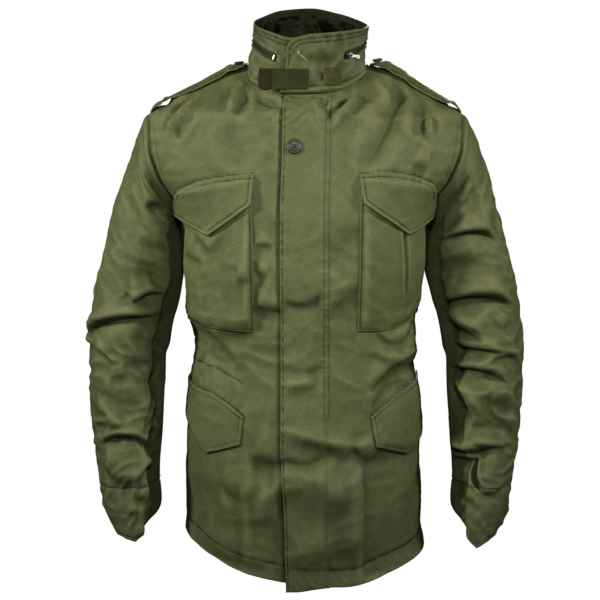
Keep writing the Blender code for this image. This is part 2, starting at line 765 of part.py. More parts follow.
def placket():
    inside = [row for row in PANEL_ROWS if PLACKET_EDGE[-1][0] < row < PLACKET_EDGE[0][0]]
    rows = np.array([PLACKET_EDGE[0][0], *inside, PLACKET_EDGE[-1][0]], float)[:, None]
    u = np.linspace(0.0, 1.0, 6)[None, :]
    free = smooth(column(PLACKET_EDGE, 0), column(PLACKET_EDGE, 1), rows)
    across = free * (1 - u) + PLACKET_LEFT * u
    height = rows + 0 * u
    lift = PLACKET_LIFT * (1 - u) ** 2 * ease((-rows - 380) / 150.0)
    lie_on_body("placket", "cloth", across, height, LYING_GAP + lift, PLACKET_THICK)


def sleeve(side):
    surface = sleeve_surface(side)
    turn = np.arange(SLEEVE_AROUND)[None, :] * 360.0 / SLEEVE_AROUND
    down = np.array(SLEEVE_ROWS + (CUFF,), float)[:, None]
    turn, down = np.broadcast_arrays(turn, down)
    points = surface(turn, down)
    normals = normals_of(surface, turn, down, 1.0, 1.0)
    normals = normals * (1.0 if side == "left" else -1.0)
    plate("sleeve_" + side, "cloth", points, normals, -PANEL_WALL, 0.0, around=True)


def hand_guard(side):
    """The pointed piece that carries on the front half of the cuff."""
    surface = sleeve_surface(side)
    turn = np.linspace(GUARD_EDGE[0][0], GUARD_EDGE[-1][0], 17)[None, :]
    reach = np.interp(turn, column(GUARD_EDGE, 0), column(GUARD_EDGE, 1))
    reach = reach + GUARD_TIP_EXTRA[side] * np.exp(-((turn - 108) / 40.0) ** 2)
    share = np.linspace(0.0, 1.0, 5)[:, None]
    down = CUFF + GAP + (reach - CUFF - GAP) * share
    turn = turn + 0 * down
    points = surface(turn, down)
    normals = normals_of(surface, turn, down, 1.0, 1.0)
    normals = normals * (1.0 if side == "left" else -1.0)
    plate("hand_guard_" + side, "cloth", points, normals, -1.5, 0.0)


def collar_strip():
    """The stand-up collar; its upper front corner is rounded and its left end passes over its right."""
    up = np.array(COLLAR_ROWS)[:, None]
    share = np.linspace(0.0, 1.0, COLLAR_COLUMNS + 1)[None, :]
    corner = 1.0 - np.sqrt(1.0 - np.clip((up - 1.0) / COLLAR_CORNER + 1.0, 0.0, 1.0) ** 2)
    end = COLLAR_END_LOW + (COLLAR_END_TOP - COLLAR_END_LOW) * corner
    turn = COLLAR_START + (end - COLLAR_START) * share
    up = up + 0 * turn
    points = on_collar(turn, up, collar_lap(turn))
    plate("collar", "cloth", points, collar_normals(turn, up), -COLLAR_WALL, 0.0)


def collar_piece(name, finish, sizes, rows, low):
    """A piece lying on the collar between two turns and two heights, `low` mm off it."""
    turns, ups, columns, thick = sizes
    turn = np.linspace(turns[0], turns[1], columns + 1)[None, :] + np.zeros((rows + 1, 1))
    up = np.linspace(ups[0], ups[1], rows + 1)[:, None] + 0 * turn
    points = on_collar(turn, up, low(turn))
    plate(name, finish, points, collar_normals(turn, up), 0.0, thick)


def collar_trim():
    """The tape of the collar's zip, the closing tab and the two patches it fastens to."""
    def on_collar_right(turn):
        return GAP + 0.0 * turn

    def on_lap(turn):
        return collar_lap(turn) + LYING_GAP

    def over_edge(turn):
        over = ease((turn - COLLAR_END_LOW) / 6.0)
        return COLLAR_LAP + GAP + 0.2 - over * (COLLAR_LAP - 1.9)

    tape = ((ZIP_FROM, ZIP_TO), (ZIP_LOW, ZIP_HIGH), 36, ZIP_THICK)
    collar_piece("collar_zip", "tape", tape, 1, on_lap)
    collar_piece("collar_tab", "tab", TAB, 2, over_edge)
    collar_piece("collar_loop_right", "loop", LOOP_RIGHT, 2, on_collar_right)
    collar_piece("collar_loop_left", "loop", LOOP_LEFT, 2, on_lap)


def zip_frame(turn, lift):
    """Frame on the collar zip: origin, along the zip, up the collar, out."""
    at = np.array([turn])
    middle = np.array([(ZIP_LOW + ZIP_HIGH) / 2])
    out = collar_normals(at, middle)[0]
    base = on_collar(at, middle, np.array([collar_lap(at)[0] + LYING_GAP + ZIP_THICK + lift]))[0]
    along = unit(on_collar(at + 1, middle, np.zeros(1))[0] - on_collar(at - 1, middle, np.zeros(1))[0])
    along = unit(along - out * np.dot(along, out))
    return base, (along, np.cross(out, along), out)


def turned(frame, droop, tilt):
    """The pull's frame: drooped about the outward axis, then tilted towards the collar."""
    origin, (along, up, out) = frame
    droop = math.radians(droop)
    tilt = math.radians(tilt)
    upward = up if up[2] > 0 else -up
    back = -along * math.cos(droop) - upward * math.sin(droop)
    hinge = unit(np.cross(out, back))
    back = back * math.cos(tilt) - out * math.sin(tilt)
    return origin, (back, hinge, np.cross(back, hinge))


def zip_hardware():
    """The slider at its closed end, the pull on the slider's pin, and the stop at the far end."""
    base, axes = zip_frame(ZIP_TO - 3.6, GAP)
    body_cells = ((0, 5), (0, 3), (0, 1))
    posts = (((1, 2), (1, 2), (1, 2)), ((3, 4), (1, 2), (1, 2)))
    bridge = ((1, 4), (1, 2), (2, 3))
    blocks("zip_slider", "dark_metal", SLIDER_CUTS, (body_cells, *posts, bridge), (base, axes))

    frame = turned((base + axes[2] * SLIDER_PIN, axes), PULL_DROOP, PULL_TILT)
    ring = (((0, 1), (0, 3), (0, 1)), ((1, 2), (0, 1), (0, 1)), ((1, 2), (2, 3), (0, 1)))
    blade = ((2, 3), (0, 3), (0, 1))
    blocks("zip_pull", "bright_metal", PULL_CUTS, (*ring, blade), frame)

    whole = ((0, 1), (0, 1), (0, 1))
    blocks("zip_stop", "bright_metal", STOP_CUTS, (whole,), zip_frame(ZIP_FROM + 2.0, GAP))


def shoulder_strap(side):
    """A strap that bridges the shoulder from the armhole to its button and point near the collar."""
    sign = 1.0 if side == "left" else -1.0
    first = 3 if side == "left" else 1
    xs, crown, fall, width = [np.array(column(STRAP_LINE, k), float)[:, None]
                              for k in (0, first, first + 1, 5)]
    share = np.linspace(-1.0, 1.0, 5)[None, :]
    y = STRAP_MIDDLE + STRAP_HALF_WIDTH * width * share
    z = crown - fall * (y / STRAP_ARCH) ** 2
    x = sign * xs + np.interp(xs, (xs[0, 0], xs[-1, 0]), STRAP_SHIFT)
    points = np.stack(np.broadcast_arrays(x, y, z), -1)
    along = unit(np.gradient(points, axis=0))
    up = unit(np.cross(along, np.gradient(points, axis=1)))
    up = np.where(up[..., 2:] < 0, -up, up)
    plate("shoulder_strap_" + side, "cloth", points, up, -STRAP_THICK, 0.0)

    centre, axis, out = [grid[STRAP_BUTTON_ROW, 2] for grid in (points, along, up)]
    frame = (centre + out * LYING_GAP, (axis, np.cross(out, axis), out))
    button("strap_button_" + side, STRAP_BUTTON_RADIUS, frame, holes=False)


def front_button():
    across = np.array([float(FRONT_BUTTON[0])])
    height = np.array([float(FRONT_BUTTON[1])])
    point = body(across, height)
    out = outward(point, body_normals(across, height))[0]
    point = point[0] + out * (LYING_GAP + PLACKET_THICK + 0.45)
    along = unit(np.cross(np.array([0.0, 0.0, 1.0]), out))
    button("front_button", BUTTON_RADIUS, (point, (along, np.cross(out, along), out)), holes=True)


def clear_scene():
    for item in list(bpy.data.objects):
        bpy.data.objects.remove(item)


def build():
    clear_scene()
    panel("back", "left", True, 20)
    placket()
    front_button()
    collar_strip()
    collar_trim()
    zip_hardware()
    for side in ("right", "left"):
        panel("front_" + side, side, False, 13)
        sleeve(side)
        hand_guard(side)
        chest_pocket(side)
        lower_flap(side)
        shoulder_strap(side)


build()
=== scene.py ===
"""Looks of a field jacket: creased cloth shells, seams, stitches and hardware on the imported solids.

Sizes are in millimetres until a mesh is written.  +Z is up, the front faces -Y, the wearer's
left is +X and the base of the neck is at height 0.
"""
import math

import bpy
import numpy as np
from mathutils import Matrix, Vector


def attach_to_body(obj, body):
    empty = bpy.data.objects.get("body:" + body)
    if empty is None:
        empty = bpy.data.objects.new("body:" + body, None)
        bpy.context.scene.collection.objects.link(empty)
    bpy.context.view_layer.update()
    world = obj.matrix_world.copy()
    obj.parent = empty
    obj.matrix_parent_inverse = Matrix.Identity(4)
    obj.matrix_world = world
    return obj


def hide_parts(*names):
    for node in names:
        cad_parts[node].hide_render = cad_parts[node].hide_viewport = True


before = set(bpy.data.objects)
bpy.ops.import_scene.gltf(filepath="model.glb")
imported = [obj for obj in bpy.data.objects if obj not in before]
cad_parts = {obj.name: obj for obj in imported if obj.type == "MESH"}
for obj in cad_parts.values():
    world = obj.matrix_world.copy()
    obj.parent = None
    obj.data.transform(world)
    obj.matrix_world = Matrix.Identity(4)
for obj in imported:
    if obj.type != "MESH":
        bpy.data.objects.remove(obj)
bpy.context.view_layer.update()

MM = 0.001
BODY = "jacket"
SIGN = {"left": 1.0, "right": -1.0}

# ---------------------------------------------------------------- sizes shared with the solids

# height, half width, front depth, back depth, squareness of the ring
BODY_RINGS = (
    (12, 84, 71, 66, 2.0),
    (2, 119, 75, 74, 2.0),
    (-12, 149, 80, 82, 2.0),
    (-30, 180, 87, 92, 2.1),
    (-49, 205, 94, 101, 2.3),
    (-60, 230, 101, 108, 2.5),
    (-106, 243, 118, 124, 2.9),
    (-148, 226, 129, 131, 3.0),
    (-183, 199, 135, 133, 2.8),
    (-208, 188, 138, 132, 2.6),
    (-240, 183, 139, 129, 2.5),
    (-285, 177, 139, 126, 2.5),
    (-312, 171, 137, 122, 2.5),
    (-350, 167, 133, 118, 2.4),
    (-410, 166, 127, 112, 2.4),
    (-460, 170, 130, 117, 2.4),
    (-520, 174, 136, 127, 2.4),
    (-600, 177, 141, 136, 2.4),
    (-670, 178, 143, 139, 2.4),
    (-760, 176, 143, 139, 2.4),
)
NECK_TOP = 12
NECK_FROM = -60
NECK_FRONT_DROP = 41
NECK_FRONT_CURVE = 3.6
NECK_BACK_RISE = 6
# height, how far the ring's middle stands towards the wearer's left
RING_SHIFT = ((12, 6.0), (-30, 3.5), (-60, 2.5), (-120, 2.0), (-200, 0.0), (-760, 0.0))
# steps of the chart of the body, round and down, and how far round it goes
ARC_STEP = 2.0
RING_STEP = 2.0
CHART_REACH = 700.0
# cells after which the noise repeats
NOISE_TILE = 61

HEM_FROM = -560
HEM_RING = -760
# distance round from the centre front (+ is the wearer's left), height of the hem
HEM = (
    (-500, -716), (-380, -706), (-244, -684), (-207, -690), (-165, -702), (-102, -723), (-26, -738),
    (0, -744), (60, -744), (131, -729), (205, -713), (244, -705), (380, -710), (500, -716),
)
# distance round, how far the turned-up band stands out at the hem
HEM_FLARE = ((-500, 3), (-240, 2), (-30, 2), (20, 4), (110, 8), (220, 8), (300, 4), (500, 3))
HEM_BAND = 25.0
# lengths that set the number of columns in a front panel and in the back
FRONT_SPAN = 265.0
BACK_SPAN = 530.0

ARMHOLE_HEIGHT = -132
ARMHOLE_HALF_HEIGHT = 72
ARMHOLE_HALF_DEPTH = 72
SEAM_GAP = 0.35
WALL = 2.0

# down, outer x, inner x, inner height, centre y, half depth
SLEEVE_RINGS = (
    (60, 230, 189, -204, 0, 72),
    (90, 247, 189.5, -212, 0, 74),
    (130, 262, 187.5, -224, 0, 77),
    (180, 279, 184, -248, 1, 78),
    (240, 296, 180, -282, 3, 77),
    (300, 311, 187, -328, 5, 74),
    (360, 321, 200, -380, 6, 71),
    (420, 326, 209, -428, 4, 69),
    (480, 324, 212, -478, -3, 66),
    (540, 319, 215, -535, -14, 62),
    (600, 309, 219, -594, -27, 57),
    (640, 304, 216, -634, -36, 54),
    (710, 281, 236, -700, -48, 49),
)
SLEEVE_OUT = {"right": -2.5, "left": 3.5}
CAP_FROM = 60
CAP_FADE = 110
CUFF = 612
# turn from the outer seam towards the front, how far down the guard reaches
GUARD_EDGE = ((-24, 636), (0, 656), (50, 680), (108, 695), (150, 678), (180, 650), (202, 632))
GUARD_TIP_EXTRA = {"right": 0, "left": 9}
GUARD_TALL = 60.0
GUARD_THICK = 1.6

COLLAR_HALF_WIDTH = 85
COLLAR_HALF_FRONT = 68
COLLAR_HALF_BACK = 66
COLLAR_SHIFT = 10
# turn from the centre front round by the wearer's right, height of the rim
COLLAR_RIM = (
    (0, 56.5), (20, 51), (45, 59.5), (70, 67), (90, 73), (120, 80.5), (150, 91), (180, 94),
    (210, 86), (240, 75.5), (270, 67.5), (290, 65), (315, 61.5), (340, 58.5), (360, 56.5),
)
COLLAR_WAIST = 1.5
COLLAR_START = -5.0
COLLAR_END_LOW = 384.0
COLLAR_END_TOP = 372.0
COLLAR_LAP = 3.9
COLLAR_WALL = 3.0
LAP_FROM = 326.0
LAP_OVER = 30.0
ZIP_FROM = 36.0
ZIP_TO = 322.0
ZIP_LOW = 0.49
ZIP_HIGH = 0.63

PLACKET_LEFT = 36
# height, free edge
PLACKET_EDGE = ((7, -33), (-110, -34), (-250, -35), (-370, -34), (-530, -34), (-650, -29), (-750, -26))
PLACKET_LIFT = 3.5
PLACKET_OUT = 2.95
PLACKET_WIDTH = 70.0
PLACKET_SEWN_EDGE = PLACKET_LEFT + 1.5
PLACKET_SEAMS = (28.6, 35.6)

BAG_BULGE = 5.4
BAG_TOP_BULGE = 1.6
BAG_THICK = 1.5
BAG_PLEAT = 0.545
BAG_INNER_EDGE = {"right": 0.045, "left": 0.07}
FLAP_THICK = 1.9
# gap below a piece that is sewn on, and how deep its stitches sink into it
SEWN_ON = 0.5
STITCH_SINK = 0.45
# flap tops and bottoms: across, height; the side comes from the sign of each pocket
CHEST_FLAPS = {
    "right": (
        ((73, -144), (99, -145), (128, -149), (156, -155), (193, -169)),
        ((75, -187), (105, -209), (136, -231), (178, -216), (222, -203)),
    ),
    "left": (
        ((77, -144), (104, -141), (130, -142), (160, -147), (194, -160)),
        ((83, -184), (118, -208), (153, -231), (190, -218), (228, -205)),
    ),
}
CHEST_BAGS = {
    "right": (
        ((76, -160), (104, -161), (130, -166), (156, -173), (186, -184)),
        ((72, -371), (112, -369), (152, -367), (192, -365), (232, -360)),
    ),
    "left": (
        ((81, -160), (108, -158), (134, -160), (160, -166), (188, -176)),
        ((79, -371), (115, -371), (151, -366), (184, -358), (226, -350)),
    ),
}
LOWER_FLAPS = {
    "right": (
        ((89, -496), (112, -480), (140, -467), (190, -461), (258, -452)),
        ((94, -537), (122, -546), (151, -554), (196, -522), (262, -492)),
    ),
    "left": (
        ((99, -497), (118, -484), (146, -470), (194, -459), (258, -447)),
        ((105, -541), (138, -550), (169, -558), (206, -538), (262, -500)),
    ),
}
# |x|, crown height and fall of the section on the wearer's right, then on the left, share of the width
STRAP_LINE = (
    (90, 14.0, 2.0, 12.3, 2.0, 0.16), (93, 13.3, 3.0, 13.3, 3.0, 0.50), (97, 12.6, 4.0, 15.2, 4.5, 0.86),
    (102, 12.0, 5.0, 16.3, 6.0, 0.92), (109, 11.6, 7.0, 17.0, 9.0, 0.95), (115, 10.4, 8.0, 16.0, 11.0, 0.96),
    (124, 6.0, 8.5, 12.0, 12.5, 0.97), (134, 1.0, 8.5, 8.0, 12.5, 0.97), (144, -4.6, 8.0, 3.4, 12.0, 0.98),
    (152, -9.4, 7.5, -4.2, 11.5, 0.98), (158, -13.0, 7.0, -8.8, 11.0, 0.98),
    (172, -20.6, 5.5, -17.8, 10.0, 1.0), (187, -28.0, 4.0, -26.6, 8.5, 1.0),
    (208, -38.6, 3.0, -38.8, 5.5, 1.0), (219, -44.4, 2.6, -44.4, 4.0, 1.0),
    (225, -48.7, 2.0, -48.7, 3.0, 1.0), (229.5, -56.4, 1.2, -56.4, 1.5, 1.0),
)
STRAP_THICK = 2.4
STRAP_HALF_WIDTH = 22.5
STRAP_MIDDLE = -7
STRAP_ARCH = 28.0
STRAP_SHIFT = (7, 2.5)
STRAP_FROM = 90.0
STRAP_TO = 229.5
STRAP_HALF_CLOTH = 23.0
STRAP_STITCH = 4.6

# share of the button's radius, height above its foot
BUTTON_PROFILE = (
    (0.34, 1.75), (0.56, 1.85), (0.64, 2.1), (0.72, 2.75), (0.80, 3.05), (0.88, 3.0),
    (0.95, 2.6), (1.0, 1.9), (1.0, 1.3), (0.94, 0.6), (0.80, 0.15),
)
BUTTON_DISH = 1.75
# distance of the pull's tongue from the slider's pin, half width
TONGUE_PROFILE = (
    (4.4, 0.9), (4.8, 1.6), (5.6, 2.1), (7.0, 2.3), (8.4, 2.1), (9.6, 1.8),
    (11.0, 2.0), (14.0, 2.6), (17.0, 3.0), (18.6, 2.9), (19.5, 2.2), (19.9, 1.2),
)

# ---------------------------------------------------------------- creases

# across, height at one end; at the other; bend of its middle, reach, depth (+ stands out), lean
BODY_CREASES = (
    (-105, 0, -109, -47, -1, 4.5, 3.5, 0),
    (-94, -2, -101, -56, 0, 5, -3, 0),
    (-203, -83, -169, -35, 1, 4, 3.5, 0),
    (-209, -71, -183, -34, 1, 4.5, -3.5, 0),
    (-188, -90, -171, -56, -6, 4.5, -3.5, 0),
    (-112, -70, -88, -132, -1, 9, -3, 0),
    (-79, 4, -39, -40, -10, 5.5, -5.5, 0),
    (140, -14, 87, -132, -4, 8, -5.5, 0.2),
    (103, 6, 125, -30, -1, 4.5, 3.5, 0),
    (57, 7, 35, -59, -5, 4, -3.5, 0),
    (71, 4, 43, -70, -8, 4, 3, 0),
    (21, -2, 32, -62, 0, 4, -2.5, 0),
    (176, -40, 173, -92, 0, 6, -3, 0),
    (163, -44, 158, -88, 0, 4.5, -2, 0),
    (182, -62, 182, -90, 0, 3, 3.5, 0),
    (157, -130, 179, -136, 0, 6, -3, 0),
    (74, -216, 37, -269, 0, 11, -2.5, 0),
    (74, -306, 37, -346, 3, 6.5, -4, 0.2),
    (23, -311, -23, -328, -10, 5, -3.5, 0.2),
    (-69, -244, -48, -245, 0, 4, -2.5, 0),
    (-69, -284, -53, -287, 0, 4, -2.5, 0),
    (-70, -334, -33, -342, 1, 6, -5, 0.3),
    (-94, -293, -75, -294, 0, 5, -3, 0),
    (-161, -234, -139, -257, 0, 5, -4, 0),
    (-191, -262, -151, -272, 0, 5, -3, 0),
    (-243, -390, -101, -414, -25, 9, -6.5, 0.3),
    (-132, -374, -84, -378, 0, 5.5, -4, 0.2),
    (-26, -557, 26, -552, 7, 6, -4, 0.2),
    (-22, -574, 58, -622, -12, 13, 3.2, 0),
    (-24, -604, 26, -652, -8, 15, -3, 0),
    (-20, -514, 67, -538, 2, 7, 3, 0),
    (-6, -533, 70, -560, -7, 9, -2.8, 0),
    (-20, -694, 44, -672, 4, 14, 2.4, 0),
    (109, -377, 182, -368, 21, 5, -4, 0),
    (104, -406, 249, -418, 17, 6, -4, 0.2),
    (103, -448, 199, -416, -4, 7, -5.5, 0.2),
    (97, -492, 187, -452, -24, 8, -4.5, 0),
    (74, -577, 77, -698, 0, 9, 3, 0),
    (71, -539, 94, -566, 0, 6, -5, 0),
    (-76, -554, -31, -562, 2, 8, -5.5, 0.2),
    (-118, -605, -67, -599, 14, 9, -5.5, 0.2),
    (-135, -623, -36, -588, 20, 13, 3, 0),
    (-29, -420, 26, -414, 12, 7, -2.5, 0),
    (-25, -448, 11, -442, 0, 6, 2.5, 0),
    (-162, -686, -62, -713, 7, 6, -2.5, 0),
    (300, -330, 420, -420, 10, 14, -6, 0.2),
    (-300, -350, -430, -440, -10, 14, -6, 0.2),
    (330, -420, 470, -470, 6, 14, 5, 0),
    (-330, -300, -480, -340, 8, 15, -5, 0),
    (430, -560, 440, -700, 6, 13, 5, 0),
    (-420, -540, -410, -700, -6, 13, -5, 0),
    (470, -70, 400, -180, -8, 12, -4, 0),
    (-470, -70, -410, -190, 8, 12, -4, 0),
    (290, -380, 470, -372, 14, 9, -4.5, 0.2),
    (-290, -402, -470, -396, -12, 9, -4.5, 0.2),
    (310, -230, 400, -270, 6, 10, -3.5, 0),
    (-310, -236, -390, -284, -6, 10, -3.5, 0),
    (350, -600, 420, -640, 4, 12, -3.5, 0),
    (-340, -580, -430, -560, 4, 12, 3.5, 0),
    (285, -348, 392, -362, 12, 8, -5, 0.3),
    (-285, -340, -376, -366, 10, 8, -5.5, 0.3),
    (300, -410, 455, -398, -12, 8, -5.5, 0.3),
    (-296, -420, -462, -432, 12, 8, -5.5, 0.3),
    (380, -350, 500, -372, 8, 9, -4.5, 0.2),
    (-395, -372, -505, -350, -8, 9, -4.5, 0.2),
    (290, -452, 372, -470, 8, 7, -4.5, 0.2),
    (-284, -456, -390, -480, -9, 7, -5, 0.2),
    (300, -140, 372, -214, -6, 8, -4.5, 0.2),
    (-300, -150, -366, -206, 6, 8, -4.5, 0.2),
    (288, -190, 340, -258, -4, 7, -4, 0.2),
    (-290, -200, -345, -274, 4, 7, -4, 0.2),
    (455, -120, 470, -240, 4, 12, -3.5, 0),
    (-440, -130, -455, -232, -4, 12, -3.5, 0),
    (400, -520, 388, -690, 5, 12, -4, 0),
    (-372, -530, -380, -700, -6, 12, -4, 0),
    (478, -500, 484, -640, 4, 12, 4, 0),
    (-466, -560, -470, -720, 5, 12, -4, 0),
    (300, -520, 352, -560, -4, 8, -4, 0.2),
    (-300, -510, -340, -548, 4, 8, -4, 0.2),
)

# height, how full the shoulder stands under the strap on the wearer's right and on the left
SHOULDER_FULLNESS = (
    (12, 0.0, 3.0), (6, 0.0, 6.0), (0, 0.0, 7.6), (-8, 0.3, 7.4), (-14, 0.5, 4.6), (-20, 0.6, 2.6),
    (-26, 1.0, 2.0), (-32, 2.4, 3.0), (-38, 3.8, 3.9), (-44, 4.2, 4.2), (-47, 1.2, 4.2), (-49, 0.2, 3.8),
    (-51, 1.2, 1.6), (-53, 3.4, 0.2), (-55, 3.2, 1.2), (-57, 1.6, 1.6), (-60, 0.0, 0.0),
)

# where the front turns away to the side: across, top, bottom, how far it falls back
PLANE_BREAKS = ((86, -535, -745, 12.0), (-88, -585, -740, 6.0))

# turn, down at one end; at the other; bend of its middle, reach, depth, lean
SLEEVE_CREASES = {
    "right": (
        (88, 154, 121, 115, 0, 5, -5, 0.3),
        (48, 160, 103, 194, -2, 9, -3.5, 0),
        (79, 220, 124, 216, 0, 8, -3.5, 0.2),
        (83, 268, 126, 258, 0, 9, -3, 0.2),
        (81, 310, 91, 324, 0, 4, -4.5, 0),
        (91, 324, 124, 302, 6, 4.5, -6, 0.3),
        (19, 388, 118, 340, 7, 5, -8, 0.4),
        (-5, 406, 74, 423, 8, 4.5, -5, 0),
        (125, 125, 133, 306, 1, 12, 4, 0),
        (69, 446, 91, 447, 0, 6, -3, 0),
        (54, 468, 108, 486, -3, 9, -4, 0.3),
        (126, 454, 147, 440, 0, 6, -4, 0),
        (157, 496, 132, 522, 0, 5, -5, 0),
        (48, 478, 85, 519, 0, 6, 3, 0),
        (40, 519, 85, 524, 0, 6, -5, 0.3),
        (47, 548, 115, 543, 8, 4.5, -7, 0.4),
        (113, 542, 122, 555, 0, 3.5, -5, 0),
        (123, 549, 163, 548, 15, 4.5, -6, 0.3),
        (43, 582, 111, 603, -10, 6, -4.5, 0.2),
        (146, 579, 106, 620, -11, 4.5, -7, 0),
        (100, 628, 133, 632, 0, 5, -4, 0.2),
        (86, 651, 108, 648, 0, 5, -3, 0.2),
        (200, 340, 330, 372, 10, 10, -5.5, 0.2),
        (190, 405, 340, 420, -8, 9, -5.5, 0.2),
        (200, 470, 330, 500, 8, 10, -5, 0.2),
        (210, 250, 320, 230, 6, 12, -4, 0),
        (230, 300, 340, 296, 8, 9, -4, 0.2),
        (205, 545, 300, 556, 8, 7, -5, 0.2),
        (215, 440, 290, 452, 6, 8, 3, 0),
    ),
    "left": (
        (67, 138, 91, 152, 0, 7, -3, 0),
        (31, 204, 64, 208, 0, 6, -3, 0),
        (76, 108, 134, 90, 11, 8, -3.5, 0),
        (119, 196, 49, 234, -7, 5.5, -7.5, 0.4),
        (154, 176, 124, 192, 0, 6, -3, 0),
        (148, 243, 75, 256, 0, 10, -5, 0.2),
        (150, 280, 127, 303, 0, 7, -5, 0),
        (142, 318, 49, 336, -13, 7, -9.5, 0.5),
        (135, 326, 96, 366, -4, 6, 3.5, 0),
        (146, 339, 98, 382, -2, 8, -8, 0),
        (49, 360, 64, 372, 0, 5, -3, 0),
        (141, 393, 77, 406, -2, 6, -8, 0.5),
        (93, 426, 36, 429, -12, 6, -6, 0.3),
        (149, 435, 68, 454, -11, 6, -8, 0.5),
        (145, 450, 103, 501, -9, 6, 3.5, 0),
        (160, 465, 114, 512, -7, 8, -8, 0),
        (95, 480, 49, 492, 0, 8, -5, 0.2),
        (122, 534, 35, 542, -24, 9, -6, 0.2),
        (109, 549, 45, 552, 3, 4, -4, 0.2),
        (162, 561, 83, 554, 5, 5, -8, 0.4),
        (166, 580, 109, 573, 0, 5, -7, 0.3),
        (109, 573, 97, 614, 11, 4.5, -7, 0),
        (46, 606, 95, 618, -8, 4, -4, 0),
        (172, 615, 131, 610, 0, 4, -3, 0),
        (129, 628, 99, 639, 0, 5, -2, 0),
        (200, 330, 340, 366, 10, 10, -5.5, 0.2),
        (190, 410, 330, 426, -8, 9, -5.5, 0.2),
        (210, 486, 340, 470, 8, 10, -5, 0.2),
        (200, 240, 320, 254, 6, 12, -4, 0),
        (225, 292, 335, 300, 8, 9, -4, 0.2),
        (205, 550, 300, 540, 8, 7, -5, 0.2),
        (215, 450, 290, 444, 6, 8, 3, 0),
    ),
}

# turn, how far down the body the collar's foot has spread
COLLAR_FOOT = (
    (0, 1.5), (20, 4.0), (35, 6.0), (50, 6.0), (65, 3.0), (85, 0.0),
    (280, 0.0), (300, 3.0), (330, 1.0), (360, 1.5),
)

# turn, up at one end; at the other; bend of its middle, reach, depth, lean
COLLAR_CREASES = (
    (364, 0.62, 338, 0.50, 2, 4, -2.2, 0.2),
    (345, 0.62, 336, 0.30, -2, 5, -1.8, 0),
    (17, 0.44, 30, 0.56, 1, 5, -1.5, 0),
    (359, 0.14, 346, 0.35, 0, 4, -1.6, 0),
    (352, 0.71, 333, 0.58, 1, 4, -1.4, 0),
    (331, 0.50, 320, 0.12, 0, 5, -1.6, 0),
    (25, 0.40, 40, 0.30, 1, 5, -1.2, 0),
    (60, 0.35, 82, 0.28, 2, 7, 1.2, 0),
    (300, 0.30, 280, 0.36, 2, 6, -1.2, 0),
    (120, 0.30, 165, 0.22, 3, 8, -1.4, 0),
    (200, 0.25, 245, 0.34, -3, 8, -1.4, 0),
)
# mm of cloth per degree round the collar and the sleeves, and the collar's height and length
COLLAR_DEGREE = 1.35
SLEEVE_DEGREE = 1.15
COLLAR_HEIGHT = 75.0
COLLAR_LONG = 520.0

# sewn lines on the body: across, height
WELT_LINES = (
    ((-226, -423), (-170, -425), (-133, -430), (-91, -447)),
    ((187, -414), (155, -421), (132, -430), (99, -458)),
)
# rubbed paleness added along an edge; and the least that the crest measure leaves in a trough, below which
# the cloth's colour is painted darker as shade
EDGE_WEAR = 0.15
TROUGH_SHADE_FLOOR = 0.26
# the seams just above the flaps
FLAP_SEAMS = tuple(
    tuple((SIGN[side] * across, height + 1.6) for across, height in flaps[side][0])
    for flaps in (CHEST_FLAPS, LOWER_FLAPS) for side in ("right", "left")
)


# ---------------------------------------------------------------- curves

def smooth(stations, values, at):
    """Values at `at`, through the stations without overshoot."""
    x = np.asarray(stations, float)
    y = np.asarray(values, float)
    if x[0] > x[-1]:
        x = x[::-1]
        y = y[::-1]
    step = np.diff(x)
    slope = np.diff(y) / step
    tangent = np.empty_like(y)
    tangent[0] = slope[0]
    tangent[-1] = slope[-1]
    product = slope[:-1] * slope[1:]
    total = np.where(product > 0, slope[:-1] + slope[1:], 1.0)
    tangent[1:-1] = np.where(product > 0, 2.0 * product / total, 0.0)
    at = np.clip(np.asarray(at, float), x[0], x[-1])
    i = np.clip(np.searchsorted(x, at) - 1, 0, len(x) - 2)
    t = (at - x[i]) / step[i]
    return ((1 + 2 * t) * (1 - t) ** 2 * y[i] + t * (1 - t) ** 2 * step[i] * tangent[i]
            + t * t * (3 - 2 * t) * y[i + 1] + t * t * (t - 1) * step[i] * tangent[i + 1])


def column(table, number):
    return [row[number] for row in table]


def curve(table, at, number=1):
    """A smooth curve through one column of a table, whose first column says where."""
    return smooth(column(table, 0), column(table, number), at)


def ease(t):
    """0 to 1 with level ends."""
    t = np.clip(t, 0.0, 1.0)
    return t * t * (3.0 - 2.0 * t)


def rise(at, start, end):
    """0 at `start` and before it, 1 at `end` and after it, with level ends."""
    return ease((at - start) / (end - start))


def bump(at, middle, reach):
    """1 at `middle`, falling away within about twice `reach` on both sides."""
    return np.exp(-((at - middle) / reach) ** 2)


def unit(vectors):
    return vectors / np.maximum(np.linalg.norm(vectors, axis=-1, keepdims=True), 1e-9)


def normals_of(surface, u, v, du, dv):
    """Unit normals of surface(u, v), from its two slopes."""
    along_u = surface(u + du, v) - surface(u - du, v)
    along_v = surface(u, v + dv) - surface(u, v - dv)
    return unit(np.cross(along_u, along_v))


def noise(x, y, seed):
    """Smooth gradient noise, about -1 to 1, with cells one unit wide."""
    turns = np.random.RandomState(seed).uniform(0, 2 * math.pi, (NOISE_TILE, NOISE_TILE))
    x, y = np.broadcast_arrays(np.asarray(x, float), np.asarray(y, float))
    i = np.floor(x).astype(int)
    j = np.floor(y).astype(int)
    total = np.zeros(x.shape)
    for a in (0, 1):
        for b in (0, 1):
            angle = turns[(i + a) % NOISE_TILE, (j + b) % NOISE_TILE]
            dx = x - (i + a)
            dy = y - (j + b)
            slope = dx * np.cos(angle) + dy * np.sin(angle)
            total += ease(1 - np.abs(dx)) * ease(1 - np.abs(dy)) * slope
    return 1.6 * total


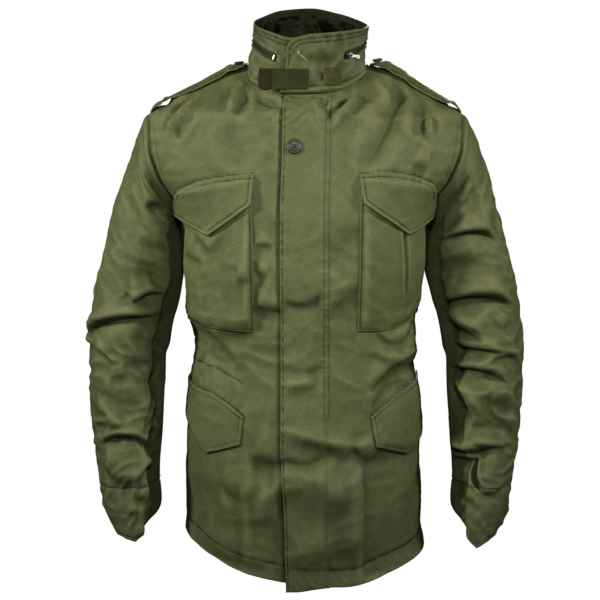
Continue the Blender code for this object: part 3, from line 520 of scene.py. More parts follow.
def wrinkles(x, y, seed):
    """Fine crumpling: soft ridges that wander, about -0.5 to 0.5."""
    wander_x = x + 0.6 * noise(x / 1.7, y / 1.7, seed + 1)
    wander_y = y + 0.6 * noise(x / 1.9, y / 1.9, seed + 2)
    return 0.5 - np.abs(noise(wander_x, wander_y, seed)) * 1.5


def crease_relief(creases, across, up, scale=1.0, scale_up=1.0):
    """Height of the creases at a point.

    A fold that runs across has a full upper side that drops steeply into its trough; one that runs
    down is an even trough; a ridge (depth above 0) is a soft rounded line.
    """
    relief = np.zeros(np.broadcast(across, up).shape)
    for a0, b0, a1, b1, bend, reach, depth, lean in creases:
        run_a = (a1 - a0) * scale
        run_b = (b1 - b0) * scale_up
        length = math.hypot(run_a, run_b)
        off_a = (across - a0) * scale
        off_b = (up - b0) * scale_up
        where = (off_a * run_a + off_b * run_b) / length ** 2
        middle = np.clip(where, 0.0, 1.0)
        side = 1.0 if run_a >= 0 else -1.0
        bow = bend * math.copysign(4.0, scale_up) * middle * (1.0 - middle)
        below = ((off_a * run_b - off_b * run_a) / length - bow) * side
        body = rise(where, -0.20, 0.28) * rise(where, 1.20, 0.72)
        crisp = float(ease((abs(depth) / reach - 0.6) / 0.9))
        u = below / (reach * (1.9 - 0.8 * crisp) * (0.55 + 0.45 * body))
        if depth > 0:
            relief = relief + depth * body * np.exp(-np.abs(u) ** 1.7)
            continue
        level = float(ease((abs(run_a) / length - 0.30) / 0.40))
        above = np.clip(-u, 0.0, None)
        under = np.clip(u, 0.0, None)
        full = (1.0 - np.exp(-above / 0.95)) * np.exp(-(above / (3.6 + 2.0 * lean)) ** 1.9)
        fold = 0.95 * full - 0.34 * np.exp(-above / 0.45) * np.exp(-(under / 2.4) ** 1.5)
        soft = -0.60 * np.tanh(u / 0.85) * np.exp(-(np.abs(u) / 2.4) ** 1.6) - 0.20 * np.exp(-u * u)
        trough = -np.exp(-np.abs(u) ** 1.6) + 0.30 * bump(np.abs(u), 1.9, 0.9)
        shape = level * (crisp * fold + (1.0 - crisp) * soft) + (1.0 - level) * 0.80 * trough
        relief = relief - depth * body * shape
    return relief


# ---------------------------------------------------------------- body surface

RING_LEVELS = np.arange(BODY_RINGS[0][0], HEM_RING - 1, -RING_STEP)


def ring_sizes(height):
    """Half width, front depth, back depth and squareness of the ring at a height."""
    return [curve(BODY_RINGS, height, number) for number in (1, 2, 3, 4)]


def ring_shift(height):
    return curve(RING_SHIFT, height)


def neck_lift(cosine, height):
    """How far a ring stands off level near the neckline: scooped at the front, raised at the back."""
    sine = np.sqrt(np.clip(1.0 - cosine * cosine, 0.0, 1.0))
    scoop = -NECK_FRONT_DROP * (1.0 - sine ** NECK_FRONT_CURVE)
    lift = np.where(cosine > 0, scoop, NECK_BACK_RISE * cosine * cosine)
    return lift * rise(height, NECK_FROM, NECK_TOP)


def half_ring(height):
    """One side of a ring, from the centre front round to the centre back, and its running length."""
    width, front, back, power = ring_sizes(height)
    turn = np.linspace(0.0, math.pi, 361)
    cosine = np.cos(turn)
    depth = np.where(cosine > 0, front, back)
    x = width * np.abs(np.sin(turn)) ** (2.0 / power)
    y = -np.sign(cosine) * depth * np.abs(cosine) ** (2.0 / power)
    z = height + neck_lift(cosine, height)
    arc = np.concatenate([[0.0], np.cumsum(np.hypot(np.diff(x), np.diff(y)))])
    return x, y, z, arc


def body_chart():
    """Points of every ring at equal steps round, with the lengths to the side and to the back."""
    arcs = np.arange(0.0, CHART_REACH, ARC_STEP)
    chart = []
    side = []
    whole = []
    for height in RING_LEVELS:
        x, y, z, arc = half_ring(height)
        chart.append(np.stack([np.interp(arcs, arc, values) for values in (x, y, z)], -1))
        side.append(arc[len(arc) // 2])
        whole.append(arc[-1])
    return np.array(chart), np.array(side), np.array(whole)


CHART, SIDE_ARC, WHOLE_ARC = body_chart()


def side_arc(height):
    return np.interp(-np.asarray(height, float), -RING_LEVELS, SIDE_ARC)


def back_arc(height):
    return np.interp(-np.asarray(height, float), -RING_LEVELS, WHOLE_ARC)


def folded(across, heights):
    """Distances that run on past the centre back, turned into distances on the other side."""
    whole = back_arc(heights)[:, None]
    return np.where(across > whole, across - 2.0 * whole, across)


def bare_body(across, height):
    """Outer surface of the body before its creases: `across` mm round from the centre front."""
    across, height = np.broadcast_arrays(np.asarray(across, float), np.asarray(height, float))
    row = np.clip((RING_LEVELS[0] - height) / RING_STEP, 0, len(RING_LEVELS) - 1.001)
    col = np.clip(np.abs(across) / ARC_STEP, 0, CHART.shape[1] - 1.001)
    i = row.astype(int)
    j = col.astype(int)
    f = (row - i)[..., None]
    g = (col - j)[..., None]
    points = ((CHART[i, j] * (1 - g) + CHART[i, j + 1] * g) * (1 - f)
              + (CHART[i + 1, j] * (1 - g) + CHART[i + 1, j + 1] * g) * f)
    sign = np.where(across < 0, -1.0, 1.0)
    points[..., 0] = points[..., 0] * sign + ring_shift(height)
    return points


def hem_height(across):
    return curve(HEM, across)


def dropped(height, across):
    """Height of a row once the hem curve has stretched the rows near it."""
    share = np.clip((HEM_FROM - height) / (HEM_FROM - HEM_RING), 0.0, None)
    return np.where(height < HEM_FROM, HEM_FROM + share * (hem_height(across) - HEM_FROM), height)


def armhole_arc(height, at_back):
    """Distance round to the armhole edge, or to the side seam where there is no armhole."""
    share = (height - ARMHOLE_HEIGHT) / ARMHOLE_HALF_HEIGHT
    if abs(share) >= 1.0:
        return float(side_arc(height))
    reach = ARMHOLE_HALF_DEPTH * math.sqrt(1.0 - share * share)
    _, y, _, arc = half_ring(height)
    return float(np.interp(reach if at_back else -reach, y, arc))


EDGE_LEVELS = np.arange(NECK_TOP, HEM_RING - 1.0, -2.0)
SIDE_EDGE = side_arc(EDGE_LEVELS)
FRONT_EDGE = np.array([armhole_arc(height, False) for height in EDGE_LEVELS])
BACK_EDGE = np.array([armhole_arc(height, True) for height in EDGE_LEVELS])


def seam_distance(across, height):
    """Distance round to the armhole or side seam of the panel that a point is on."""
    edges = (FRONT_EDGE, BACK_EDGE, SIDE_EDGE)
    front, back, side = [np.interp(-height, -EDGE_LEVELS, edge) for edge in edges]
    return np.where(np.abs(across) < side, front - np.abs(across), np.abs(across) - back)


def hem_relief(across, height):
    """The turned-up hem: a band that stands out below its row of stitching, roped by the sewing."""
    above = height - hem_height(across)
    flare = np.interp(across, column(HEM_FLARE, 0), column(HEM_FLARE, 1))
    rope = noise(across / 7.0 + above / 9.0, across / 60.0, 37) * bump(above, 14.0, 13.0)
    return flare * ease(1.0 - above / (HEM_BAND + 2.0)) + 0.45 * rope - 0.8 * bump(above, HEM_BAND, 2.0)


def armhole_relief(across, height):
    """The sewn edge round the armhole, and the small folds that fan out from it."""
    away = seam_distance(across, height)
    near = rise(height, -222.0, -202.0) * rise(height, -40.0, -60.0)
    edge = 0.9 * bump(away, 4.5, 2.4) - 0.8 * bump(away, 8.5, 1.8)
    fan = 1.5 * noise(height / 12.0, away / 60.0, 47) * np.exp(-np.abs(away) / 24.0)
    return near * (edge + fan)


def shoulder_relief(across, height):
    """The fullness along the shoulder's ridge that fills most of the space under each strap."""
    levels = -np.array(column(SHOULDER_FULLNESS, 0), float)
    right, left = [np.interp(-height, levels, column(SHOULDER_FULLNESS, number)) for number in (1, 2)]
    ridge = np.abs(np.abs(across) - np.interp(-height, -EDGE_LEVELS, SIDE_EDGE))
    return np.where(across > 0, left, right) * bump(ridge, 0.0, 25.0)


def side_fall(across, height):
    """How far the front falls back where it turns away to the sides."""
    fall = 0.0
    for at, top, bottom, drop in PLANE_BREAKS:
        tall = rise(height, top, top - 30.0) * rise(height, bottom, bottom + 30.0)
        beyond = (across - at) * math.copysign(1.0, at)
        fall = fall + drop * tall * rise(beyond, -5.0, 11.0) * bump(np.clip(beyond, 0, None), 0.0, 110.0)
    return fall


def crumpling(across, height):
    """Broad undulation and fine crumpling: more at the waist, the throat and above the hip pockets."""
    broad = (1.8 + 0.8 * rise(height, -520.0, -600.0)) * noise(across / 70.0, height / 92.0 + 5.3, 19)
    waist = 0.5 + 0.5 * bump(height, -400.0, 90.0) + 0.5 * rise(height, -560.0, -680.0)
    throat = rise(height, -96.0, -66.0) * rise(np.abs(across), 75.0, 45.0)
    pulled = bump(height, -405.0, 60.0) * rise(np.abs(across), 90.0, 150.0)
    return (broad + 1.5 * waist * wrinkles(across / 52.0, height / 34.0, 23)
            + 1.7 * throat * wrinkles(across / 24.0, height / 13.0, 29)
            + 0.30 * noise(across / 13.0, height / 11.0, 31)
            + 1.6 * pulled * wrinkles(across / 44.0, height / 15.0, 37))


def body_relief(across, height):
    """All that stands off the bare body: creases, crumpling, seams and the hem."""
    strength = 2.2 + 0.9 * rise(height, -150.0, -100.0) + 0.6 * rise(height, -380.0, -440.0)
    strength = strength * (1.0 - 0.35 * rise(np.abs(across), 262.0, 292.0))
    relief = strength * crease_relief(BODY_CREASES, across, height) + crumpling(across, height)
    relief = relief - side_fall(across, height)
    relief = relief + armhole_relief(across, height) + shoulder_relief(across, height)
    for line in WELT_LINES:
        relief = relief + seam_relief(line, across, height, 1.3, 1.6, 0.5)
    for line in FLAP_SEAMS:
        relief = relief + seam_relief(line, across, height, 1.3, 1.5, 0.3)
    beside_sleeve = bump(seam_distance(across, height), 0.0, 26.0)
    beside_sleeve = beside_sleeve * rise(height, -330.0, -290.0) * rise(height, -190.0, -210.0)
    relief = relief * (1.0 - beside_sleeve) + 0.8 * beside_sleeve
    return relief * (1.0 - 0.8 * rise(height, -2.0, 7.0)) + hem_relief(across, height)


def body_out(across, height):
    """Unit normals of the bare body, facing away from it."""
    normals = normals_of(bare_body, across, height, 3.0, 3.0)
    away = bare_body(across, height) * np.array([1.0, 1.0, 0.0])
    facing = np.sum(away * normals, -1, keepdims=True)
    return np.where(facing < 0, -normals, normals)


def on_body(across, height, out):
    """Points `out` mm off the creased body."""
    relief = body_relief(across, height) + out
    return bare_body(across, height) + body_out(across, height) * relief[..., None]


# ---------------------------------------------------------------- meshes

def new_object(name, verts, faces, material):
    """A smooth-shaded object from points in millimetres."""
    mesh = bpy.data.meshes.new(name)
    mesh.from_pydata((np.asarray(verts, float) * MM).tolist(), [], [tuple(map(int, face)) for face in faces])
    mesh.polygons.foreach_set("use_smooth", [True] * len(mesh.polygons))
    mesh.materials.append(material)
    mesh.update()
    piece = bpy.data.objects.new(name, mesh)
    bpy.context.scene.collection.objects.link(piece)
    return piece


def loft(rings, tips=None, hoop=False):
    """Points and faces through a run of closed rings, ended flat or at two tips, or joined to a hoop."""
    count, around = rings.shape[:2]
    verts = list(rings.reshape(-1, 3))
    faces = []
    for r in range(count if hoop else count - 1):
        near = r * around
        far = (r + 1) % count * around
        faces += [(near + k, far + k, far + (k + 1) % around, near + (k + 1) % around) for k in range(around)]
    last = (count - 1) * around
    if tips is not None:
        verts += list(tips)
        faces += [(len(verts) - 2, k, (k + 1) % around) for k in range(around)]
        faces += [(last + (k + 1) % around, last + k, len(verts) - 1) for k in range(around)]
    elif not hoop:
        faces.append(tuple(range(around)))
        faces.append(tuple(last + k for k in reversed(range(around))))
    return verts, faces


def joined(parts):
    """The points and faces of several forms as one mesh."""
    verts = []
    faces = []
    for points, sides in parts:
        faces += [tuple(len(verts) + k for k in side) for side in sides]
        verts += points
    return verts, faces


def circle(centre, side, up, radius, count):
    """Points round a circle, from its centre and the two directions it lies in."""
    turn = 2.0 * math.pi * np.arange(count)[:, None] / count
    return centre + (side * np.cos(turn) + up * np.sin(turn)) * radius


def squared_spot(turn, side, up, power):
    """Where a turn falls on a rounded oblong with the given half sides."""
    c = np.cos(turn)
    s = np.sin(turn)
    return side * np.sign(c) * np.abs(c) ** power + up * np.sign(s) * np.abs(s) ** power


def stations(length, step, edge=2.2):
    """Distances from 0 to length: close near both ends, where the cloth's edge is rounded."""
    near = np.array([0.0, 0.12, 0.45, 1.0]) * edge
    count = max(2, int(round((length - 2 * edge) / step)))
    middle = np.linspace(edge, length - edge, count + 1)
    return np.concatenate([near[:-1], middle, length - near[-2::-1]])


def rounded(distance, thick):
    """Share of the full thickness at a distance from the cloth's edge."""
    near = 1.0 - np.clip(distance / (0.9 * thick), 0.0, 1.0)
    return np.sqrt(np.clip(1.0 - near * near, 0.0, 1.0)) * 0.92 + 0.08


def edge_distances(u, v):
    """Distance to the nearest edge of a grid whose coordinates are running lengths."""
    return np.minimum(np.minimum(u - u.min(1, keepdims=True), u.max(1, keepdims=True) - u),
                      np.minimum(v - v.min(0, keepdims=True), v.max(0, keepdims=True) - v))


def crests(outer, inner):
    """1 on the crests of a grid of cloth, 0.5 on level parts and less in its troughs; from it the cloth's
    colour gets a painted highlight on crests and painted shade in troughs.
    """
    around = np.zeros(outer.shape)
    reach = 3
    padded = np.pad(outer, ((reach, reach), (reach, reach), (0, 0)), mode="edge")
    rows, cols = outer.shape[:2]
    for i, j in ((0, reach), (2 * reach, reach), (reach, 0), (reach, 2 * reach)):
        around += padded[i:i + rows, j:j + cols] / 4.0
    proud = np.sum((outer - around) * unit(outer - inner), -1)
    proud[:reach] = proud[-reach:] = 0.0
    proud[:, :reach] = proud[:, -reach:] = 0.0
    return np.clip(0.5 + 0.45 * proud, TROUGH_SHADE_FLOOR, 1.0)


def edge_wear(distance):
    """How much paler cloth is rubbed along an edge."""
    return EDGE_WEAR * bump(distance, 0.0, 1.8)


def shell(name, material, outer, inner, uv, wear_and_shade, around=False):
    """A closed cloth wall between two grids of points, with the cloth's own coordinates in mm."""
    rows, cols = outer.shape[:2]
    back = rows * cols
    columns = np.arange(cols if around else cols - 1)
    r, c = [grid.ravel() for grid in np.meshgrid(np.arange(rows - 1), columns, indexing="ij")]
    corners = np.stack([np.stack([r, c], -1), np.stack([r + 1, c], -1),
                        np.stack([r + 1, c + 1], -1), np.stack([r, c + 1], -1)], 1)
    front = corners[..., 0] * cols + corners[..., 1] % cols
    faces = [front, front[:, ::-1] + back]
    cells = [corners, corners[:, ::-1]]
    for row in (0, rows - 1):
        level = np.full_like(columns, row)
        edge = np.stack([np.stack([level, columns], -1), np.stack([level, columns + 1], -1)], 1)
        add_rim(faces, cells, edge, cols, back, row == 0)
    if not around:
        steps = np.arange(rows - 1)
        for col in (0, cols - 1):
            upright = np.full_like(steps, col)
            edge = np.stack([np.stack([steps, upright], -1), np.stack([steps + 1, upright], -1)], 1)
            add_rim(faces, cells, edge, cols, back, col != 0)
    faces = np.concatenate(faces)
    cells = np.concatenate(cells)
    verts = np.concatenate([outer.reshape(-1, 3), inner.reshape(-1, 3)])
    p, q, s, t = [verts[faces[:, k]] for k in range(4)]
    if np.sum(p * (np.cross(q, s) + np.cross(s, t))) < 0:
        faces = faces[:, ::-1]
        cells = cells[:, ::-1]
    piece = new_object(name, verts, faces, material)
    layer = piece.data.uv_layers.new(name="cloth")
    layer.data.foreach_set("uv", (uv[cells[..., 0], cells[..., 1]] * MM).reshape(-1).astype(np.float32))
    # point value for the cloth's colour: paler rubbed edges, a painted highlight on crests, painted shade in
    # troughs and grooves
    attribute = piece.data.attributes.new("wear_and_shade", "FLOAT", "POINT")
    attribute.data.foreach_set("value", np.tile(wear_and_shade.reshape(-1), 2).astype(np.float32))
    return piece


def add_rim(faces, cells, edge, cols, back, forward):
    """The strip that closes a shell along one edge of its grid."""
    low = edge[..., 0] * cols + edge[..., 1] % cols
    quad = np.stack([low[:, 0], low[:, 1], low[:, 1] + back, low[:, 0] + back], 1)
    cell = np.stack([edge[:, 0], edge[:, 1], edge[:, 1], edge[:, 0]], 1)
    faces.append(quad if forward else quad[:, ::-1])
    cells.append(cell if forward else cell[:, ::-1])


def wall(name, material, place, u, v, out, thick, distance, uv, roll=0.0, shade=0.0):
    """A cloth shell on place(u, v, out), rounded along its edges, with painted shade in its grooves and
    troughs and a painted highlight on its crests.
    """
    share = rounded(distance, thick)
    middle = out - thick / 2.0
    outer = place(u, v, middle + share * thick / 2.0 - roll)
    inner = place(u, v, middle - share * thick / 2.0 - roll)
    wear_and_shade = np.clip(edge_wear(distance) + crests(outer, inner) + shade, 0.0, 1.0)
    return shell(name, material, outer, inner, uv, wear_and_shade)


def attach(piece, stands_for=None, body=BODY):
    """Ride a body and, where there is one, stand for a solid, which is hidden."""
    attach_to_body(piece, body)
    if stands_for:
        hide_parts(stands_for)


def dress(piece, stands_for):
    """Stand for a solid: ride the body and hide the solid."""
    attach(piece, stands_for)


# ---------------------------------------------------------------- seams and stitches

def walk(path, step=1.5):
    """The points of a path at even steps."""
    path = np.asarray(path, float)
    lengths = np.concatenate([[0.0], np.cumsum(np.linalg.norm(np.diff(path, axis=0), axis=1))])
    at = np.linspace(0.0, lengths[-1], max(2, int(round(lengths[-1] / step)) + 1))
    return np.stack([np.interp(at, lengths, path[:, k]) for k in range(path.shape[1])], -1)


def seam_relief(path, across, along, depth, reach, pucker, scale=1.0, scale_along=1.0):
    """A sewn groove on a path, with small puckers beside it."""
    path = np.asarray(path, float) * np.array([scale, scale_along])
    a, b = np.broadcast_arrays(np.asarray(across, float) * scale, np.asarray(along, float) * scale_along)
    nearest = np.full(a.shape, 1e9)
    running = np.zeros(a.shape)
    start = 0.0
    for (a0, b0), (a1, b1) in zip(path[:-1], path[1:]):
        length = math.hypot(a1 - a0, b1 - b0)
        share = np.clip(((a - a0) * (a1 - a0) + (b - b0) * (b1 - b0)) / length ** 2, 0.0, 1.0)
        away = np.hypot(a - a0 - share * (a1 - a0), b - b0 - share * (b1 - b0))
        closer = away < nearest
        running = np.where(closer, start + share * length, running)
        nearest = np.where(closer, away, nearest)
        start += length
    waves = np.cos(running / 1.35 + 3.0 * noise(running / 21.0, 0.5, 41))
    waves = waves * (0.5 + noise(running / 33.0, 2.5, 43))
    return -depth * bump(nearest, 0.0, reach) + pucker * waves * bump(nearest, 0.0, 7.0)


def seam_shade(paths, across, along, scale=1.0, scale_along=1.0):
    """How much darker cloth is in its sewn grooves: 0, or down to about -0.6 on a seam."""
    return sum(seam_relief(path, across, along, 0.6, 1.2, 0.0, scale, scale_along) for path in paths)


class Thread:
    """Collects the stitches of one piece into one mesh."""

    def __init__(self):
        self.parts = []

    def sew(self, place, path, pitch=3.4, length=2.4, radius=0.32, lift=0.18):
        """Stitches on a path given in the surface's own coordinates."""
        dense = walk(path, 1.0 if np.ptp(np.asarray(path, float)[:, 1]) > 3 else 0.5)
        points = place(dense[:, 0], dense[:, 1], 0.0)
        outs = unit(place(dense[:, 0], dense[:, 1], 1.0) - points)
        at = np.concatenate([[0.0], np.cumsum(np.linalg.norm(np.diff(points, axis=0), axis=1))])
        for start in np.arange(0.6, at[-1] - length, pitch):
            a, b, out = [np.array([np.interp(spot, at, grid[:, k]) for k in range(3)])
                         for spot, grid in ((start, points), (start + length, points), (start, outs))]
            out = unit(out)
            self.stitch(a + out * lift, b + out * lift, out, radius)

    def stitch(self, a, b, out, radius):
        """One stitch: a four-sided thread with pressed-in ends."""
        side = unit(np.cross(unit(b - a), out))
        rings = np.array([circle(a + (b - a) * t, side, out, radius, 4) for t in (0.22, 0.78)])
        self.parts.append(loft(rings, tips=(a - out * radius, b - out * radius)))

    def mesh(self, name, slot="cloth"):
        attach(new_object(name, *joined(self.parts), THREAD))


def sew_rows(name, place, paths):
    """Rows of stitches on place(u, v, out), as one mesh."""
    thread = Thread()
    for path in paths:
        thread.sew(place, path)
    thread.mesh(name)


# ---------------------------------------------------------------- materials

def node(tree, kind, *inputs, **values):
    """A shader node whose properties and inputs are set by name or in order, by value or by link."""
    made = tree.nodes.new(kind)
    for key, value in [*values.items(), *enumerate(inputs)]:
        if isinstance(key, str) and key not in made.inputs:
            setattr(made, key, value)
        elif isinstance(value, bpy.types.NodeSocket):
            tree.links.new(value, made.inputs[key])
        else:
            made.inputs[key].default_value = value
    return made


def multiply_add(tree, value, factor, addend):
    return node(tree, "ShaderNodeMath", value, factor, addend, operation="MULTIPLY_ADD").outputs[0]


def blend_sum(tree, terms, base):
    """base plus each socket's value, less one half, times its weight."""
    total = base - 0.5 * sum(weight for _, weight in terms)
    for socket, weight in terms:
        total = multiply_add(tree, socket, weight, total)
    return total


def speckle(tree, lie, scale, detail, **more):
    """Noise of about 1 / scale metres on the given coordinates."""
    return node(tree, "ShaderNodeTexNoise", lie, Scale=scale, Detail=detail, **more).outputs["Fac"]


def ramp(tree, factor, stops):
    """A colour ramp from a factor socket."""
    made = node(tree, "ShaderNodeValToRGB", factor)
    while len(made.color_ramp.elements) < len(stops):
        made.color_ramp.elements.new(0.5)
    for element, (position, colour) in zip(made.color_ramp.elements, stops):
        element.position = position
        element.color = (*colour, 1.0)
    return made.outputs["Color"]


def new_material(name):
    """A material with its node tree and its shader."""
    material = bpy.data.materials.new(name)
    material.use_nodes = True
    return material, material.node_tree, material.node_tree.nodes["Principled BSDF"]


def roughen(tree, shader, height, strength, distance):
    """Fine relief of the surface, from a height socket."""
    relief = node(tree, "ShaderNodeBump", Strength=strength, Distance=distance, Height=height)
    tree.links.new(relief.outputs["Normal"], shader.inputs["Normal"])


def cloth_material(name, dark, middle, light, roughness=0.60, sheen=0.25, weave=0.5, thread=0.8, gloss=0.15):
    """Woven cotton: mottled dye, diagonal sateen ribs `thread` mm apart, slubs, paler rubbed edges, a painted
    highlight on crests and painted shade in troughs and sewn grooves.
    """
    material, tree, shader = new_material(name)
    for key, value in (("Roughness", roughness), ("Sheen Weight", sheen), ("Sheen Roughness", 0.45),
                       ("Sheen Tint", (0.60, 0.66, 0.30, 1.0)), ("Specular IOR Level", gloss)):
        shader.inputs[key].default_value = value
    lie = node(tree, "ShaderNodeUVMap", uv_map="cloth").outputs["UV"]
    broad = speckle(tree, lie, 14.0, 3.0)
    cloud = speckle(tree, lie, 55.0, 4.0, Roughness=0.6)
    mottle = speckle(tree, lie, 330.0, 2.0)
    slub = speckle(tree, lie, 1300.0, 1.0)
    rib = node(tree, "ShaderNodeTexWave", lie, wave_type="BANDS", bands_direction="DIAGONAL",
               Scale=0.314 / thread / MM, Distortion=1.2, Detail=1.0).outputs["Fac"]
    # painted highlight and shade: the point value is high on crests and low in troughs and grooves, and it
    # also carries the paler rubbed edges
    worn = node(tree, "ShaderNodeAttribute", attribute_name="wear_and_shade").outputs["Fac"]
    dye = blend_sum(tree, ((broad, 0.30), (cloud, 0.15), (mottle, 0.32), (slub, 0.2)), 0.35)
    colour = ramp(tree, multiply_add(tree, worn, 0.30, dye), ((0.15, dark), (0.50, middle), (0.90, light)))
    # painted shade: where that value falls below the trough level, in sewn grooves and recesses, the colour
    # is scaled down towards half
    hollow = node(tree, "ShaderNodeMapRange", worn, 0.0, TROUGH_SHADE_FLOOR, 0.50, 1.0).outputs["Result"]
    painted_shade_colour = node(tree, "ShaderNodeVectorMath", colour, operation="SCALE", Scale=hollow)
    tree.links.new(painted_shade_colour.outputs["Vector"], shader.inputs["Base Color"])
    roughen(tree, shader, blend_sum(tree, ((rib, 0.6), (slub, 0.8), (mottle, 1.0)), 0.5), weave, 0.00025)
    return material


def hard_material(name, colour, worn, roughness, metallic, grain=600.0):
    """Moulded or plated stuff with fine scratches and paler rubbed places."""
    material, tree, shader = new_material(name)
    shader.inputs["Metallic"].default_value = metallic
    scratch = speckle(tree, node(tree, "ShaderNodeTexCoord").outputs["Object"], grain, 3.0)
    tree.links.new(ramp(tree, scratch, ((0.35, colour), (0.75, worn))), shader.inputs["Base Color"])
    tree.links.new(blend_sum(tree, ((scratch, 0.3),), roughness), shader.inputs["Roughness"])
    roughen(tree, shader, scratch, 0.3, 0.00008)
    return material


SATEEN = cloth_material("sateen", (0.043, 0.048, 0.023), (0.087, 0.0925, 0.0445), (0.148, 0.153, 0.077),
                        sheen=0.05)
# the collar's inner face: the same olive cloth painted about four times darker, as the shade inside the
# collar
SHADED_FACING = cloth_material("facing", (0.013, 0.014, 0.007), (0.021, 0.023, 0.011), (0.036, 0.038, 0.020),
                        sheen=0.03)
# the lining's colours run from near black, painted shade in the hollows of its crumple, to pale, a painted
# highlight on its ridges
LINING = cloth_material("lining", (0.002, 0.0022, 0.001), (0.007, 0.008, 0.004), (0.055, 0.054, 0.028),
                        roughness=0.8, sheen=0.0, gloss=0.08)
WEBBING = cloth_material("webbing", (0.022, 0.026, 0.010), (0.034, 0.039, 0.015), (0.050, 0.056, 0.023),
                         roughness=0.85, sheen=0.08, weave=0.9, thread=1.6)
LOOP_PILE = cloth_material("loop_pile", (0.018, 0.017, 0.006), (0.031, 0.030, 0.011), (0.046, 0.044, 0.018),
                           roughness=0.95, sheen=0.08, weave=1.0, thread=1.2)
LOOP_WEAVE = cloth_material("loop_weave", (0.042, 0.042, 0.016), (0.062, 0.062, 0.025), (0.088, 0.088, 0.040),
                            roughness=0.95, sheen=0.08, weave=1.0, thread=1.2)
TAPE = cloth_material("tape", (0.026, 0.029, 0.012), (0.040, 0.044, 0.019), (0.060, 0.065, 0.030),
                      roughness=0.8, sheen=0.05, weave=0.8, thread=1.0)
THREAD = cloth_material("thread", (0.050, 0.054, 0.022), (0.070, 0.075, 0.032), (0.095, 0.101, 0.046),
                        sheen=0.05, weave=0.1)
PALE_THREAD = cloth_material("pale_thread", (0.42, 0.42, 0.30), (0.55, 0.55, 0.40), (0.70, 0.70, 0.55),
                             weave=0.1)
BUTTON = hard_material("button_resin", (0.016, 0.020, 0.008), (0.030, 0.036, 0.017), 0.50, 0.0)
COIL = hard_material("zip_coil", (0.020, 0.023, 0.010), (0.036, 0.040, 0.020), 0.55, 0.0)
BRIGHT = hard_material("nickel", (0.66, 0.66, 0.63), (0.86, 0.86, 0.83), 0.30, 0.55)
DARK = hard_material("black_nickel", (0.035, 0.036, 0.030), (0.12, 0.12, 0.10), 0.38, 0.9)


# ---------------------------------------------------------------- body pieces

def panel(name, side, at_back, step):
    """A front panel from its centre line to the armhole and side seam, or the whole back."""
    heights = NECK_TOP - stations(NECK_TOP - HEM_RING, step)
    edge = np.array([armhole_arc(height, at_back) for height in heights])[:, None]
    if at_back:
        across = edge + 2.0 * (back_arc(heights)[:, None] - edge) * stations(BACK_SPAN, step) / BACK_SPAN
        on_side = folded(across, heights)
    else:
        across = SIGN[side] * edge * stations(FRONT_SPAN, step) / FRONT_SPAN
        on_side = across
    level = heights[:, None] + 0 * across
    height = dropped(level, on_side)
    run = np.abs(across - across[:, :1])
    seam = run.max(1, keepdims=True) - run
    if at_back:
        seam = np.minimum(seam, run)
    sleeved = rise(level, -215.0, -195.0) * rise(level, -48.0, -62.0)
    free_side = rise(level, -300.0, -360.0)
    roll = (0.6 * free_side + 1.5 * sleeved) * bump(seam, 0.0, 3.0)
    shade = seam_shade(WELT_LINES + FLAP_SEAMS, on_side, height)
    shade = shade - 0.45 * bump(height - hem_height(on_side), HEM_BAND, 1.5)
    shade = shade - 0.4 * sleeved * (bump(seam, 0.0, 1.8) + bump(seam, 8.5, 1.2))
    shade = shade - 0.5 * free_side * bump(seam, 0.0, 1.8)
    out = 0.0 * across
    if side == "right" and not at_back:
        beside = across - placket_edge(height)
        out = -2.2 * bump(beside, -1.0, 2.6)
        shade = shade - 0.35 * bump(beside, -1.0, 1.8)
    distance = edge_distances(run, NECK_TOP - level)
    uv = np.stack([across, height], -1)
    piece = wall(name + "_cloth", SATEEN, on_body, on_side, height, out, WALL, distance, uv, roll, shade)
    dress(piece, name)


def placket_edge(height):
    """Where the storm flap's free edge is, across from the centre front."""
    return curve(PLACKET_EDGE, height)


def placket_rise(share, height):
    """How far the storm flap stands off the body: lifted low down at its free edge, sunk at its seam."""
    sunk = rise(share, 0.80, 1.0) * (2.2 + 1.3 * rise(height, -470.0, -540.0))
    return PLACKET_OUT + PLACKET_LIFT * (1 - share) ** 2 * rise(height, -380.0, -530.0) - sunk


def on_placket(across, height, out):
    """Points off the grooves of the storm flap, where its stitches lie."""
    free = placket_edge(height)
    share = (across - free) / (PLACKET_SEWN_EDGE - free)
    return on_body(across, height, placket_rise(share, height) - 0.55 + out)


